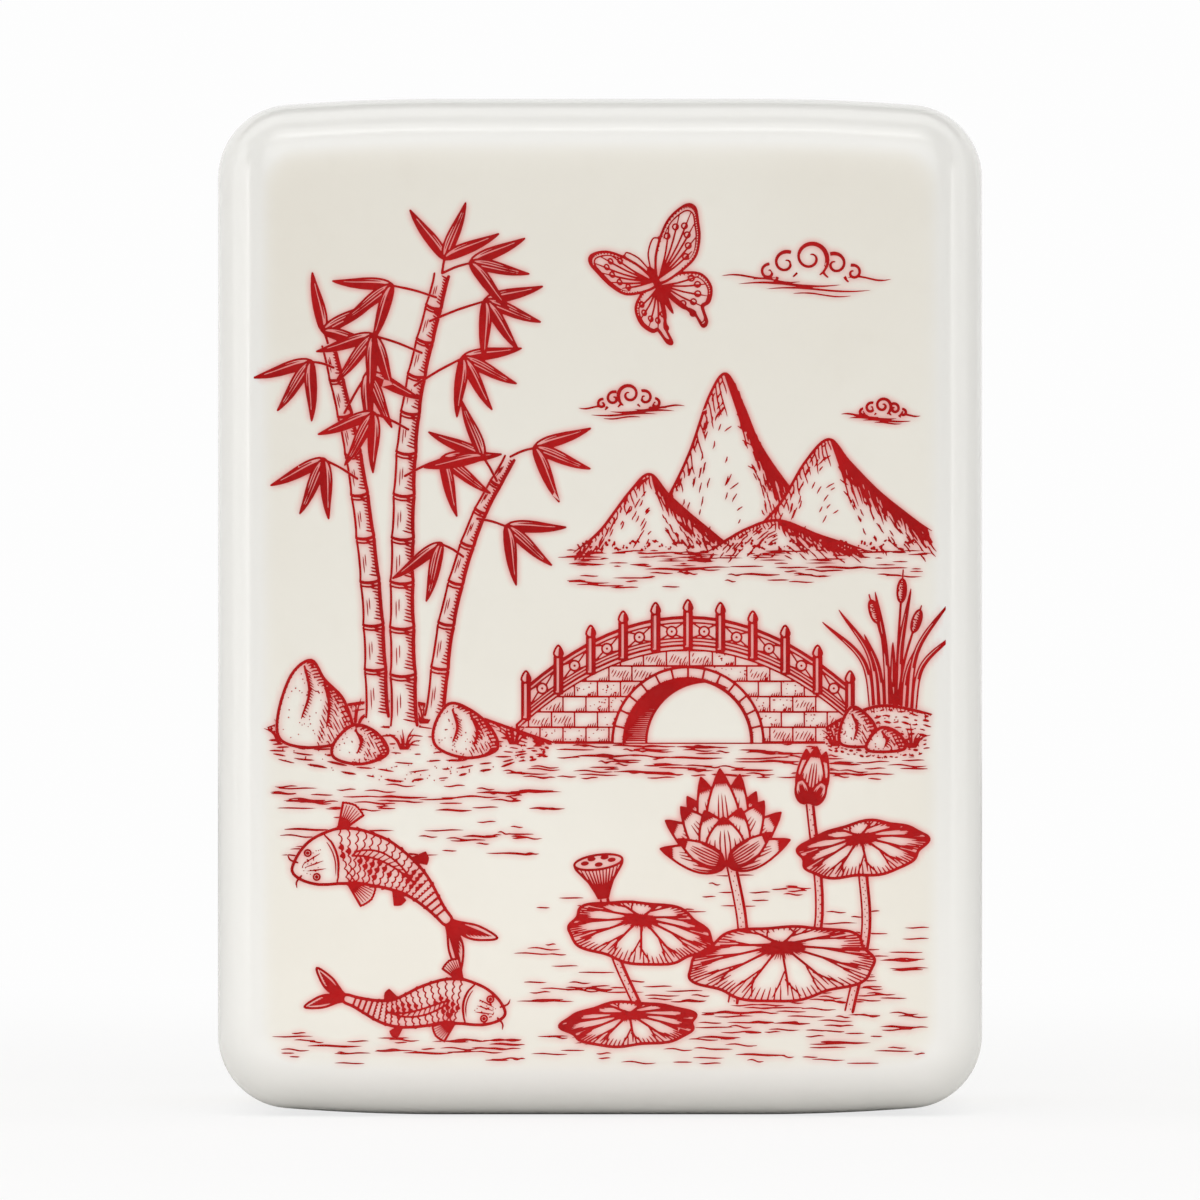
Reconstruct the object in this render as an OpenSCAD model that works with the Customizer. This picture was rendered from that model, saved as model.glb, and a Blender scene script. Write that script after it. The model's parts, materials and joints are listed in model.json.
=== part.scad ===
/* [Tile] */
// Width of the tile across its face
tile_w = 30.1; // [28:0.1:34]
// Height of the tile as it stands on its end
tile_h = 40; // [39:0.5:46]
// Depth of the tile from its printed face to its back
tile_d = 22; // [17:0.5:27]
// Thickness of the back block
back_t = 7.5; // [5:0.5:11]
// Thickness of the bond line between the two blocks
bond_t = 0.15; // [0.1:0.05:0.4]

/* [Rounding] */
// Radius of the four corners seen from the front
corner_r = 2.9; // [2.2:0.1:3.4]
// Radius of the rounded edges round the face and round the back
edge_r = 1.9; // [1.5:0.1:2.1]
// Radius of the shoulders that ease each end into its corners
shoulder_r = 80; // [60:1:100]
// Angle that each shoulder turns through
shoulder_a = 4.5; // [3:0.5:5.5]

/* [Picture] */
// Space between the picture's sides and the rounded edges beside them
side_margin = 0.15; // [0.1:0.05:1.5]
// Space between the picture's foot and the rounded edge below it
foot_margin = 0.2; // [0.1:0.1:1]
// Space between the picture's top and the rounded edge above it
top_margin = 1.8; // [0.5:0.1:3.5]
// Thickness of the glossy red print on the face
ink_t = 0.05; // [0.03:0.01:0.1]
// Width of the main outlines
line_w = 0.13; // [0.1:0.01:0.18]
// Width of the veins, joints and short strokes
vein_w = 0.09; // [0.07:0.01:0.13]
// White gap kept round a motif that stands in front of another
gap_w = 0.08; // [0.06:0.01:0.15]
// Narrowest line or gap that the print can hold
fine_w = 0.03; // [0.02:0.005:0.04]

/* [Motifs] */
// Wingspan of the butterfly
butterfly_w = 4.1; // [3:0.1:4.6]
// Width across the open blossom
blossom_w = 4.6; // [3.5:0.1:5.2]
// Height of the closed bud
bud_h = 2.2; // [1.6:0.1:2.6]
// Width of the seed pod
pod_w = 1.9; // [1.4:0.1:2.4]
// Length of a bamboo leaf
leaf_l = 2.3; // [1.6:0.1:2.6]
// Girth of the thickest bamboo stalk
stalk_w = 1; // [0.7:0.05:1.2]
// Rise of the footbridge's deck
bridge_h = 3.1; // [2.4:0.1:3.4]
// Inner radius of the footbridge's arch
arch_r = 2.5; // [2:0.1:2.7]
// Height of the footbridge's hand rail above its deck
rail_h = 1.15; // [0.9:0.05:1.3]
// Girth of the large carp
carp_w = 2.2; // [1.6:0.1:2.4]
// Height of the reeds
reed_h = 5.4; // [4:0.1:6]

/* [Hidden] */
MOTIFS = ["ink_clouds", "ink_mountains", "ink_butterfly", "ink_ripples", "ink_reeds", "ink_bridge",
  "ink_banks", "ink_bamboo_stalks", "ink_rocks", "ink_bamboo_leaves", "ink_lotus_leaves",
  "ink_lotus_flowers", "ink_carp"];
corner_steps = 10;
shoulder_steps = 3;
rim_steps = 8;

// Heights of the tile's layers, and the centres of its corners and shoulders
face_z = tile_d / 2 - ink_t;
back_z = -tile_d / 2;
bond_z = back_z + back_t;
block_z = bond_z + bond_t;
corner_x = tile_w / 2 - corner_r;
shoulder_x = corner_x - (shoulder_r - corner_r) * sin(shoulder_a);
shoulder_y = tile_h / 2 - shoulder_r;
corner_y = shoulder_y + (shoulder_r - corner_r) * cos(shoulder_a);

// Size of the picture, and the height of its foot
print_w = tile_w - 2 * (edge_r + side_margin);
print_h = tile_h - 2 * edge_r - foot_margin - top_margin;
print_base = edge_r + foot_margin - tile_h / 2;

// Curves

// Point at t on the smooth curve from b to c, with a before them and d after
function blend(a, b, c, d, t) =
  (2 * b + (c - a) * t + (2 * a - 5 * b + 4 * c - d) * pow(t, 2) + (3 * b - a - 3 * c + d) * pow(t, 3)) / 2;

// Smooth open curve through points, with n steps between neighbours
function smooth(p, n) =
  let (q = concat([2 * p[0] - p[1]], p, [2 * p[len(p) - 1] - p[len(p) - 2]]))
  concat([for (i = [1 : len(p) - 1]) for (k = [0 : n - 1]) blend(q[i - 1], q[i], q[i + 1], q[i + 2], k / n)],
    [p[len(p) - 1]]);

// Smooth closed curve through points
function smooth_ring(p, n) =
  let (m = len(p))
  [for (i = [0 : m - 1]) for (k = [0 : n - 1])
    blend(p[(i + m - 1) % m], p[i], p[(i + 1) % m], p[(i + 2) % m], k / n)];

// Point at share s of a line, and the direction there
function along(p, s) =
  let (k = s * (len(p) - 1), i = min(max(floor(k), 0), len(p) - 2)) p[i] + (p[i + 1] - p[i]) * (k - i);
function heading(p, s) =
  let (i = min(max(floor(s * (len(p) - 1)), 0), len(p) - 2), d = p[i + 1] - p[i]) d / norm(d);
function left_of(d) = [-d[1], d[0]];
function beside(p, s, off) = along(p, s) + off * left_of(heading(p, s));
function turned(v, a) = [v[0] * cos(a) - v[1] * sin(a), v[0] * sin(a) + v[1] * cos(a)];
function aim(a) = [cos(a), sin(a)];

// Place on the face for a pair of shares of the picture's width and height
function spot(share) = [(share[0] - 0.5) * print_w, print_base + share[1] * print_h];
function spots(shares) = [for (s = shares) spot(s)];

// Pen work

// Stroke along a line, thinner at its two ends
module stroke(p, pen, first_share = 0.35, last_share = 0.35) {
  n = len(p) - 1;
  half = [for (i = [0 : n]) pen / 2 * min(1, first_share + 3 * (1 - first_share) * i / n,
    last_share + 3 * (1 - last_share) * (n - i) / n)];
  across = [for (i = [0 : n]) let (d = p[min(i + 1, n)] - p[max(i - 1, 0)]) left_of(d / norm(d))];
  polygon(concat([for (i = [0 : n]) p[i] + half[i] * across[i]],
    [for (i = [n : -1 : 0]) p[i] - half[i] * across[i]]));
}

// Line just inside the edge of the children
module inked_edge(pen) {
  difference() {
    children();
    offset(delta = -pen) children();
  }
}

// Bamboo

stalks_shares = [
  [[0.165, 0.395], [0.155, 0.540], [0.130, 0.690], [0.090, 0.825]],
  [[0.250, 0.395], [0.270, 0.510], [0.310, 0.615], [0.365, 0.695]],
  [[0.205, 0.385], [0.202, 0.570], [0.215, 0.750], [0.262, 0.905]]
];
stalk_width_shares = [0.85, 0.7, 1];
stalk_lengths = [9, 7, 11];
top_share = 0.55;
stalks = [for (s = stalks_shares) smooth(spots(s), 10)];
stalk_runs = [for (s = stalks) norm(s[len(s) - 1] - s[0])];

function stalk_half(k, s) = stalk_width_shares[k] * stalk_w / 2 * (1 - (1 - top_share) * s);
function joint(k, i) = pow(i / stalk_lengths[k], 0.93);
function stalk_side(k, f, n) = [for (i = [0 : n]) beside(stalks[k], i / n, f * stalk_half(k, i / n))];

module stalk_shape(k) {
  polygon(concat(stalk_side(k, 1, 8), [for (i = [8 : -1 : 0]) stalk_side(k, -1, 8)[i]]));
}

// Two sides of a stalk, joined by a bowed ring at each joint
module stalk_lines(k) {
  ring = line_w / stalk_runs[k];
  difference() {
    stalk_shape(k);
    for (i = [0 : stalk_lengths[k] - 1])
      let (low = joint(k, i) + ring / 2, high = joint(k, i + 1) - 0.7 * ring, bow = 0.4 * ring)
      polygon([for (q = [[low, -1], [(low + high) / 2, -0.9], [high, -1], [high + bow, 0],
        [high, 1], [(low + high) / 2, 0.9], [low, 1], [low + bow, 0]])
        beside(stalks[k], q[0], q[1] * (stalk_half(k, q[0]) - line_w))]);
  }
}

module ink_bamboo_stalks_shape() {
  for (k = [0 : len(stalks) - 1]) stalk_shape(k);
}

module ink_bamboo_stalks_lines() {
  for (k = [0 : len(stalks) - 1]) stalk_lines(k);
}

// Twigs: stalk, share along it, direction, reach as a share of a leaf's length, directions of the leaves
twig_shares = [
  [0, 0.62, 150, 0.65, [-160, -120, -80]], [0, 0.80, 60, 0.78, [-20, -60, -95]],
  [0, 0.93, 165, 0.40, [-170, -130, -95]], [0, 1.00, 110, 0.22, [35, -10, 95]],
  [2, 0.52, 25, 0.70, [10, -30, -70]], [2, 0.62, 155, 0.65, [-165, -125, -85]],
  [2, 0.72, 30, 0.95, [15, -20, -55, -90]], [2, 0.80, 160, 0.87, [-170, -135, -100, -65]],
  [2, 0.88, 20, 1.00, [20, -15, -50, -85]], [2, 0.94, 165, 0.78, [170, -150, -115]],
  [2, 1.00, 20, 0.52, [30, -5, -45]], [2, 1.00, 80, 0.26, [75, 120, 30]],
  [1, 0.55, 150, 0.44, [-150, -110]], [1, 0.70, -15, 0.52, [5, -35, -75]],
  [1, 0.88, 120, 0.48, [150, 105, -175]], [1, 1.00, 20, 0.44, [25, -15, -60]]
];
leaf_width_share = 0.17;
leaf_foot_share = 0.3;
leaf_bend_share = 0.1;

function twig_end(t) = along(stalks[t[0]], t[1]) + t[3] * leaf_l * aim(t[2]);
leaves = [for (t = twig_shares) for (a = t[4]) [twig_end(t), a]];

function leaf_point(leaf, s, f) =
  let (bend = cos(leaf[1]) > 0 ? -leaf_bend_share : leaf_bend_share,
    round_share = pow(sin(180 * pow(s, 0.72)), 0.9) + leaf_foot_share * pow(1 - s, 3),
    half = leaf_l * leaf_width_share / 2 * round_share)
  leaf[0] + turned([leaf_l * s, leaf_l * bend * pow(sin(90 * s), 2) + f * half], leaf[1]);

module leaf_shape(leaf) {
  polygon(concat([for (i = [0 : 5]) leaf_point(leaf, i / 5, 1)],
    [for (i = [4 : -1 : 0]) leaf_point(leaf, i / 5, -1)]));
}

module ink_bamboo_leaves_shape() {
  for (leaf = leaves) leaf_shape(leaf);
}

module ink_bamboo_leaves_lines() {
  for (t = twig_shares) {
    stroke([along(stalks[t[0]], t[1]), twig_end(t)], vein_w, 1, 1);
    translate(twig_end(t)) circle(vein_w, $fn = 8);
  }
  ink_bamboo_leaves_shape();
}

// Lotus

// Stems: their routes, with the width that each has as a share of the widest
stems_shares = [
  [[0.700, 0.070], [0.715, 0.150], [0.690, 0.255]],
  [[0.875, 0.060], [0.900, 0.150], [0.895, 0.225]],
  [[0.560, 0.060], [0.520, 0.130], [0.505, 0.195]],
  [[0.800, 0.080], [0.830, 0.170], [0.815, 0.305]]
];
stem_width_shares = [1, 0.9, 0.82, 0.76];
stem_w = 0.34;
// Floating leaves: place, width and height, tilt, and the turn of their wavy rim
pads_shares = [[0.895, 0.245], [0.560, 0.150], [0.775, 0.115], [0.545, 0.045]];
pad_sizes = [[5, 2.1], [5.6, 2.4], [7.2, 2.9], [5.2, 1.7]];
pad_tilts = [8, -6, 3, 2];
pad_phases = [40, 130, 220, 310];
pad_veins = 11;
pad_lift_share = 0.25;

function pad_point(k, a, r) =
  let (wave = 1 + 0.045 * sin(5 * a + pad_phases[k]) + 0.03 * sin(9 * a + 2 * pad_phases[k]))
  spot(pads_shares[k]) + turned([pad_sizes[k][0] / 2 * cos(a) * wave * r,
    pad_sizes[k][1] * (sin(a) * wave * r / 2 + pad_lift_share * (1 - r))], pad_tilts[k]);

function stem_side(k, f) = let (line = smooth(spots(stems_shares[k]), 2))
  [for (i = [0 : 4]) beside(line, i / 4, f * stem_w * stem_width_shares[k] / 2)];

module pad_shape(k) {
  polygon([for (i = [0 : 29]) pad_point(k, 12 * i, 1)]);
}

module pad_lines(k) {
  inked_edge(line_w) pad_shape(k);
  for (i = [0 : pad_veins - 1]) let (a = 360 * (i + 0.3) / pad_veins)
    stroke([pad_point(k, a, 0.02), pad_point(k, a, 0.86)], vein_w, 1, 0.5);
}

module stem_shape(k) {
  polygon(concat(stem_side(k, 1), [for (i = [4 : -1 : 0]) stem_side(k, -1)[i]]));
}

module ink_lotus_leaves_shape() {
  for (k = [0 : len(stems_shares) - 1]) stem_shape(k);
  for (k = [0 : len(pads_shares) - 1]) pad_shape(k);
}

module ink_lotus_leaves_lines() {
  last = len(pads_shares) - 1;
  for (k = [0 : len(stems_shares) - 1]) difference() {
    for (f = [-1, 1]) stroke(stem_side(k, f), vein_w, 1, 1);
    for (j = [0 : last]) offset(r = gap_w, $fn = 8) pad_shape(j);
  }
  for (k = [0 : last]) difference() {
    pad_lines(k);
    if (k < last) for (j = [k + 1 : last]) offset(r = gap_w, $fn = 8) pad_shape(j);
  }
}

// Petals: foot beside the flower's middle, direction, length, width and curl, in shares of the flower's width
blossom_petals_shares = [
  [[0, 0.02], 58, 0.60, 0.22, 0.05], [[0, 0.02], 122, 0.60, 0.22, -0.05], [[0, 0.02], 74, 0.70, 0.25, 0.04],
  [[0, 0.02], 106, 0.70, 0.25, -0.04], [[0, 0.02], 90, 0.74, 0.27, 0], [[0, 0], 28, 0.60, 0.24, 0.14],
  [[0, 0], 152, 0.60, 0.24, -0.14], [[0, 0], 48, 0.58, 0.26, 0.08], [[0, 0], 132, 0.58, 0.26, -0.08],
  [[0, -0.02], 4, 0.56, 0.22, 0.18], [[0, -0.02], 176, 0.56, 0.22, -0.18], [[0, -0.02], 68, 0.46, 0.28, 0.04],
  [[0, -0.02], 112, 0.46, 0.28, -0.04], [[0, -0.03], 90, 0.38, 0.30, 0], [[0.03, -0.03], 22, 0.42, 0.17, 0.16],
  [[-0.03, -0.03], 158, 0.42, 0.17, -0.16]
];
bud_petals_shares = [
  [[0.03, 0], 78, 0.92, 0.34, 0.05], [[-0.03, 0], 102, 0.92, 0.34, -0.05], [[0, -0.02], 90, 1, 0.40, 0],
  [[0.05, -0.03], 62, 0.50, 0.24, 0.10], [[-0.05, -0.03], 118, 0.50, 0.24, -0.10]
];
blossom_at_share = [0.690, 0.235];
bud_at_share = [0.815, 0.300];
pod_at_share = [0.505, 0.190];
blossom_tilt = 4;
bud_tilt = -8;
pod_tilt = 8;
pod_side_shares = [[0.10, 0], [0.22, 0.30], [0.46, 0.62], [0.50, 0.74]];
pod_top_share = 0.74;
pod_eyes_shares = [[-0.28, 0.75], [0, 0.69], [0.28, 0.75], [-0.13, 0.82], [0.14, 0.82]];

function petal_half(s) = s <= 0 || s >= 1 ? 0.14 * pow(1 - s, 2) :
  pow(sin(180 * pow(s, 0.82)), 0.72) * (1 - 0.25 * pow(s, 3)) / 2 + 0.14 * pow(1 - s, 2);
function petal_point(petal, s, f) = petal[0] + turned([petal[2] * s, petal[4] * petal[2] * s * s +
  f * petal[3] * petal_half(s)], petal[1]);
function petal_outline(petal) = concat([for (i = [0 : 6]) petal_point(petal, i / 6, 1)],
  [for (i = [5 : -1 : 0]) petal_point(petal, i / 6, -1)]);

module petal_shape(petal, size) {
  polygon(size * petal_outline(petal));
}

// Flower of the listed petals, the front ones last
module flower_lines(petals, size) {
  last = len(petals) - 1;
  for (i = [0 : last]) difference() {
    union() {
      inked_edge(vein_w) petal_shape(petals[i], size);
      stroke([for (s = [0.02, 0.6]) size * petal_point(petals[i], s, 0)], vein_w, 0.9, 0.3);
    }
    if (i < last) for (j = [i + 1 : last]) offset(r = gap_w / 3, $fn = 8) petal_shape(petals[j], size);
  }
}

module flower_shape(petals, size) {
  for (petal = petals) petal_shape(petal, size);
}

module pod_cone() {
  polygon(concat([for (p = pod_side_shares) pod_w * p],
    [for (i = [len(pod_side_shares) - 1 : -1 : 0]) pod_w * [-pod_side_shares[i][0], pod_side_shares[i][1]]]));
}

module pod_top() {
  translate([0, pod_w * pod_top_share]) scale([1, 0.3]) circle(d = pod_w, $fn = 16);
}

module pod_lines() {
  difference() {
    union() {
      inked_edge(vein_w) pod_cone();
      for (f = [-2 : 2]) stroke([for (s = [0.03, 0.95]) pod_w * [f * (0.1 + 0.4 * s) / 3, s * pod_top_share]],
        vein_w, 1, 0.5);
    }
    pod_top();
  }
  inked_edge(vein_w) pod_top();
  for (p = pod_eyes_shares) translate(pod_w * p) scale([1, 0.5]) circle(0.08 * pod_w, $fn = 6);
}

module ink_lotus_flowers_shape() {
  translate(spot(blossom_at_share)) rotate(blossom_tilt) flower_shape(blossom_petals_shares, blossom_w);
  translate(spot(bud_at_share)) rotate(bud_tilt) flower_shape(bud_petals_shares, bud_h);
  translate(spot(pod_at_share)) rotate(pod_tilt) {
    pod_cone();
    pod_top();
  }
}

module ink_lotus_flowers_lines() {
  translate(spot(blossom_at_share)) rotate(blossom_tilt) flower_lines(blossom_petals_shares, blossom_w);
  translate(spot(bud_at_share)) rotate(bud_tilt) flower_lines(bud_petals_shares, bud_h);
  translate(spot(pod_at_share)) rotate(pod_tilt) pod_lines();
}

// Footbridge

bridge_feet_shares = [[0.375, 0.372], [0.89, 0.372]];
bridge_w = spot(bridge_feet_shares[1])[0] - spot(bridge_feet_shares[0])[0];
bridge_lift = 0.55;
bridge_foot = 0.15;
ring_t = 0.46;
course_h = 0.6;
posts = 11;
post_w = 0.3;
post_top = 0.18;
knob_w = 0.36;
knob_h = 0.46;
knob_shares = [[-0.25, 0], [-0.5, 0.35], [0, 1], [0.5, 0.35], [0.25, 0]];
fret_r = 0.22;
wedges = 13;
post_inset = 0.35;

function deck(x) = bridge_h * (1 - pow(2 * x / bridge_w - 1, 2)) + bridge_lift;
function deck_run(low, n = 16) = [for (i = [0 : n]) [bridge_w * i / n, deck(bridge_w * i / n) + low]];
function post_x(k) = post_inset + (bridge_w - 2 * post_inset) * k / (posts - 1);

// Band that follows the deck between two heights
module band(low, high, n = 16) {
  polygon(concat(deck_run(low, n), [for (i = [n : -1 : 0]) deck_run(high, n)[i]]));
}

module wall_shape() {
  polygon(concat([[0, -bridge_foot]], deck_run(0), [[bridge_w, -bridge_foot]]));
}

module arch_shape(grow = 0) {
  translate([bridge_w / 2, -bridge_foot]) circle(arch_r + grow, $fn = 36);
}

module post_shape(k) {
  translate([post_x(k), deck(post_x(k))]) polygon(concat(
    [[-post_w / 2, -line_w], [-post_w / 2, rail_h + post_top]],
    [for (p = knob_shares) [knob_w * p[0], rail_h + post_top + knob_h * p[1]]],
    [[post_w / 2, rail_h + post_top], [post_w / 2, -line_w]]));
}

// Courses of stone in the side wall
module bridge_stones() {
  intersection() {
    difference() {
      wall_shape();
      arch_shape(ring_t);
    }
    for (k = [1 : ceil((bridge_h + bridge_lift) / course_h)])
      translate([0, k * course_h - bridge_foot - vein_w / 2]) square([bridge_w, vein_w]);
  }
}

// Ring of wedge stones round the arch, and its far edge seen through it
module bridge_arch() {
  intersection() {
    wall_shape();
    union() {
      difference() {
        arch_shape(ring_t);
        arch_shape(ring_t - vein_w);
      }
      difference() {
        arch_shape(line_w);
        arch_shape();
      }
      difference() {
        translate([bridge_w / 2, -bridge_foot]) for (i = [1 : wedges]) rotate(180 * i / (wedges + 1))
          translate([arch_r, -vein_w / 2]) square([ring_t, vein_w]);
        arch_shape();
      }
      intersection() {
        arch_shape();
        translate([arch_r * 0.3, 0]) difference() {
          arch_shape(-line_w);
          arch_shape(-line_w - vein_w);
        }
      }
    }
  }
}

// Rails with a ring in each panel, and the posts between the panels
module bridge_rails() {
  difference() {
    union() {
      band(rail_h - line_w, rail_h);
      for (k = [0 : posts - 2]) let (x = (post_x(k) + post_x(k + 1)) / 2)
        translate([x, deck(x) + rail_h / 2]) inked_edge(vein_w) circle(fret_r, $fn = 8);
    }
    for (k = [0 : posts - 1]) post_shape(k);
  }
  for (k = [0 : posts - 1]) inked_edge(vein_w) post_shape(k);
}

module ink_bridge_shape() {
  translate(spot(bridge_feet_shares[0])) {
    wall_shape();
    band(-line_w, rail_h);
    for (k = [0 : posts - 1]) post_shape(k);
  }
}

module ink_bridge_lines() {
  translate(spot(bridge_feet_shares[0])) {
    difference() {
      inked_edge(line_w) wall_shape();
      arch_shape();
    }
    bridge_stones();
    bridge_arch();
    bridge_rails();
  }
}

// Mountains

ridges_shares = [
  [[0.56, 0.600], [0.60, 0.645], [0.635, 0.700], [0.665, 0.765], [0.69, 0.790], [0.715, 0.755], [0.74, 0.710],
    [0.78, 0.665], [0.82, 0.630]],
  [[0.72, 0.600], [0.77, 0.640], [0.81, 0.690], [0.845, 0.715], [0.875, 0.690], [0.92, 0.655], [0.97, 0.625],
    [1, 0.610]],
  [[0.46, 0.585], [0.50, 0.610], [0.545, 0.655], [0.575, 0.675], [0.605, 0.650], [0.65, 0.620], [0.70, 0.590]],
  [[0.66, 0.585], [0.72, 0.612], [0.77, 0.622], [0.83, 0.605], [0.90, 0.588]]
];
mountain_foot_share = 0.575;
mountain_foot = print_base + mountain_foot_share * print_h;
ridges = [for (r = ridges_shares) smooth(spots(r), 3)];

module ridge_shape(k) {
  last = len(ridges[k]) - 1;
  polygon(concat([[ridges[k][0][0], mountain_foot]], ridges[k], [[ridges[k][last][0], mountain_foot]]));
}

// Ridge line, with creases that run down its far slope and its near one
module ridge_lines(k) {
  last = len(ridges[k]) - 1;
  stroke(ridges[k], line_w, 0.3, 0.3);
  for (i = [3 : 2 : last - 3]) let (p = ridges[k][i], falls = ridges[k][i + 1][1] < p[1],
    reach = (p[1] - mountain_foot) * (falls ? 0.5 : 0.25) * (1 + 0.25 * sin(137 * i)))
    stroke([p, p + reach * [falls ? 0.35 : -0.25, -1]], line_w, 1, 0.2);
}

module ink_mountains_shape() {
  for (k = [0 : len(ridges) - 1]) ridge_shape(k);
}

module ink_mountains_lines() {
  last = len(ridges) - 1;
  for (k = [0 : last]) difference() {
    ridge_lines(k);
    if (k < last) for (j = [k + 1 : last]) offset(r = gap_w / 2, $fn = 8) ridge_shape(j);
  }
}

// Clouds: place, size and hand of each, and the scrolls that each is made of

clouds_shares = [[0.815, 0.905], [0.545, 0.755], [0.925, 0.745]];
cloud_sizes = [2.55, 1.6, 1.2];
cloud_pens = [line_w, vein_w, vein_w];
cloud_hands = [1, -1, 1];
scrolls_shares = [[-0.62, 0.02, 0.17], [0.68, 0.01, 0.16], [-0.36, 0.16, 0.24], [0.40, 0.14, 0.23],
  [0.02, 0.24, 0.30]];
trails_shares = [[-1.15, 0.55, -0.17], [-0.75, 1.05, -0.25], [-1.40, -0.45, -0.05], [0.55, 1.30, -0.08]];
scroll_turns = 1.4;
scroll_steps = 12;

module scroll_shape(s, size) {
  translate(size * [s[0], s[1]]) circle(size * s[2], $fn = 16);
}

module scroll_lines(s, size, pen) {
  hand = s[0] <= 0.1 ? 1 : -1;
  translate(size * [s[0], s[1]]) stroke([for (i = [0 : scroll_steps]) let (t = i / scroll_steps)
    size * s[2] * (1 - 0.84 * t) * aim(90 + hand * (360 * scroll_turns * t - 150))],
    pen, 0.6, 0.5);
}

module cloud_lines(size, pen) {
  last = len(scrolls_shares) - 1;
  for (i = [0 : last]) difference() {
    scroll_lines(scrolls_shares[i], size, pen);
    if (i < last) for (j = [i + 1 : last]) scroll_shape(scrolls_shares[j], size);
  }
  for (t = trails_shares)
    stroke([for (i = [0 : 3]) size * [t[0] + (t[1] - t[0]) * i / 3, t[2] + 0.03 * sin(120 * i)]],
      vein_w, 0.3, 0.3);
}

module cloud_place(k) {
  translate(spot(clouds_shares[k])) mirror([cloud_hands[k] < 0 ? 1 : 0, 0]) children();
}

module ink_clouds_shape() {
  for (k = [0 : len(cloud_sizes) - 1]) cloud_place(k) for (s = scrolls_shares) scroll_shape(s, cloud_sizes[k]);
}

module ink_clouds_lines() {
  for (k = [0 : len(cloud_sizes) - 1]) cloud_place(k) cloud_lines(cloud_sizes[k], cloud_pens[k]);
}

// Butterfly: outlines and vein ends of its right-hand wings, in shares of its wingspan

butterfly_at_share = [0.585, 0.895];
butterfly_tilt = 28;
far_wing_share = 0.72;
hind_wing_shares = [[0.03, -0.02], [0.20, -0.02], [0.40, -0.12], [0.44, -0.28], [0.36, -0.40], [0.28, -0.42],
  [0.25, -0.56], [0.19, -0.58], [0.18, -0.42], [0.10, -0.32], [0.04, -0.16]];
fore_wing_shares = [[0.03, 0.06], [0.14, 0.26], [0.36, 0.46], [0.58, 0.52], [0.66, 0.46], [0.62, 0.32],
  [0.56, 0.18], [0.44, 0.04], [0.24, -0.02], [0.04, -0.03]];
hind_veins_shares = [[0.38, -0.14], [0.41, -0.24], [0.36, -0.34], [0.27, -0.40], [0.20, -0.52], [0.15, -0.36]];
fore_veins_shares = [[0.36, 0.42], [0.50, 0.47], [0.60, 0.43], [0.58, 0.32], [0.53, 0.20], [0.44, 0.10]];
wing_root_shares = [[0.04, -0.06], [0.04, 0.02]];
butterfly_body_shares = [[0, 0.16], [0.035, 0.10], [0.028, 0], [0.03, -0.14], [0, -0.34], [-0.03, -0.14],
  [-0.028, 0], [-0.035, 0.10]];
feeler_shares = [[0.01, 0.14], [0.06, 0.28], [0.16, 0.38], [0.22, 0.36]];

function wing_run(shares, side) =
  [for (s = shares) butterfly_w * [side > 0 ? s[0] : -far_wing_share * s[0], s[1]]];

module wing_shape(shares, side) {
  polygon(smooth_ring(wing_run(shares, side), 2));
}

module wing_lines(shares, veins, root, side) {
  inked_edge(line_w) wing_shape(shares, side);
  for (v = veins) stroke(wing_run([root, v], side), vein_w, 1, 0.6);
}

module butterfly_body() {
  polygon(smooth_ring(butterfly_w * butterfly_body_shares, 2));
}

module ink_butterfly_shape() {
  translate(spot(butterfly_at_share)) rotate(butterfly_tilt) {
    for (side = [-1, 1]) {
      wing_shape(hind_wing_shares, side);
      wing_shape(fore_wing_shares, side);
    }
    butterfly_body();
  }
}

module ink_butterfly_lines() {
  translate(spot(butterfly_at_share)) rotate(butterfly_tilt) {
    for (side = [-1, 1]) {
      difference() {
        wing_lines(hind_wing_shares, hind_veins_shares, wing_root_shares[0], side);
        wing_shape(fore_wing_shares, side);
      }
      wing_lines(fore_wing_shares, fore_veins_shares, wing_root_shares[1], side);
      difference() {
        stroke(smooth(wing_run(feeler_shares, side), 2), vein_w, 0.9, 0.9);
        wing_shape(fore_wing_shares, side);
      }
    }
    butterfly_body();
  }
}

// Ripples on the water: middle and length of each

ripples_shares = [
  [0.50, 0.352, 0.08], [0.64, 0.350, 0.10], [0.77, 0.346, 0.07], [0.56, 0.334, 0.08], [0.70, 0.330, 0.06],
  [0.20, 0.305, 0.09], [0.35, 0.310, 0.08], [0.06, 0.300, 0.07], [0.28, 0.290, 0.06], [0.42, 0.292, 0.06],
  [0.06, 0.268, 0.08], [0.32, 0.260, 0.06], [0.38, 0.240, 0.05], [0.10, 0.020, 0.09], [0.24, 0.012, 0.08],
  [0.36, 0.022, 0.06], [0.68, 0.030, 0.07], [0.79, 0.046, 0.06], [0.87, 0.024, 0.08], [0.95, 0.042, 0.06],
  [0.74, 0.010, 0.08], [0.95, 0.118, 0.06], [0.48, 0.572, 0.06], [0.61, 0.566, 0.09], [0.74, 0.560, 0.07],
  [0.86, 0.568, 0.08]
];

module ink_ripples_lines() {
  for (r = ripples_shares) let (c = spot([r[0], r[1]]), half = r[2] * print_w / 2)
    polygon([c - [half, 0], c + [0, vein_w / 2], c + [half, 0], c - [0, vein_w / 2]]);
}

// Reeds

reeds_at_share = [0.945, 0.395];
reed_blades = 9;
reed_fan = 21;
reed_gap = 0.2;
reed_w = 0.16;
reed_head_angles = [-12, 3, 13];
reed_head_shares = [0.92, 1.08, 0.84];
reed_head_l = 0.9;
reed_head_w = 0.34;

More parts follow.
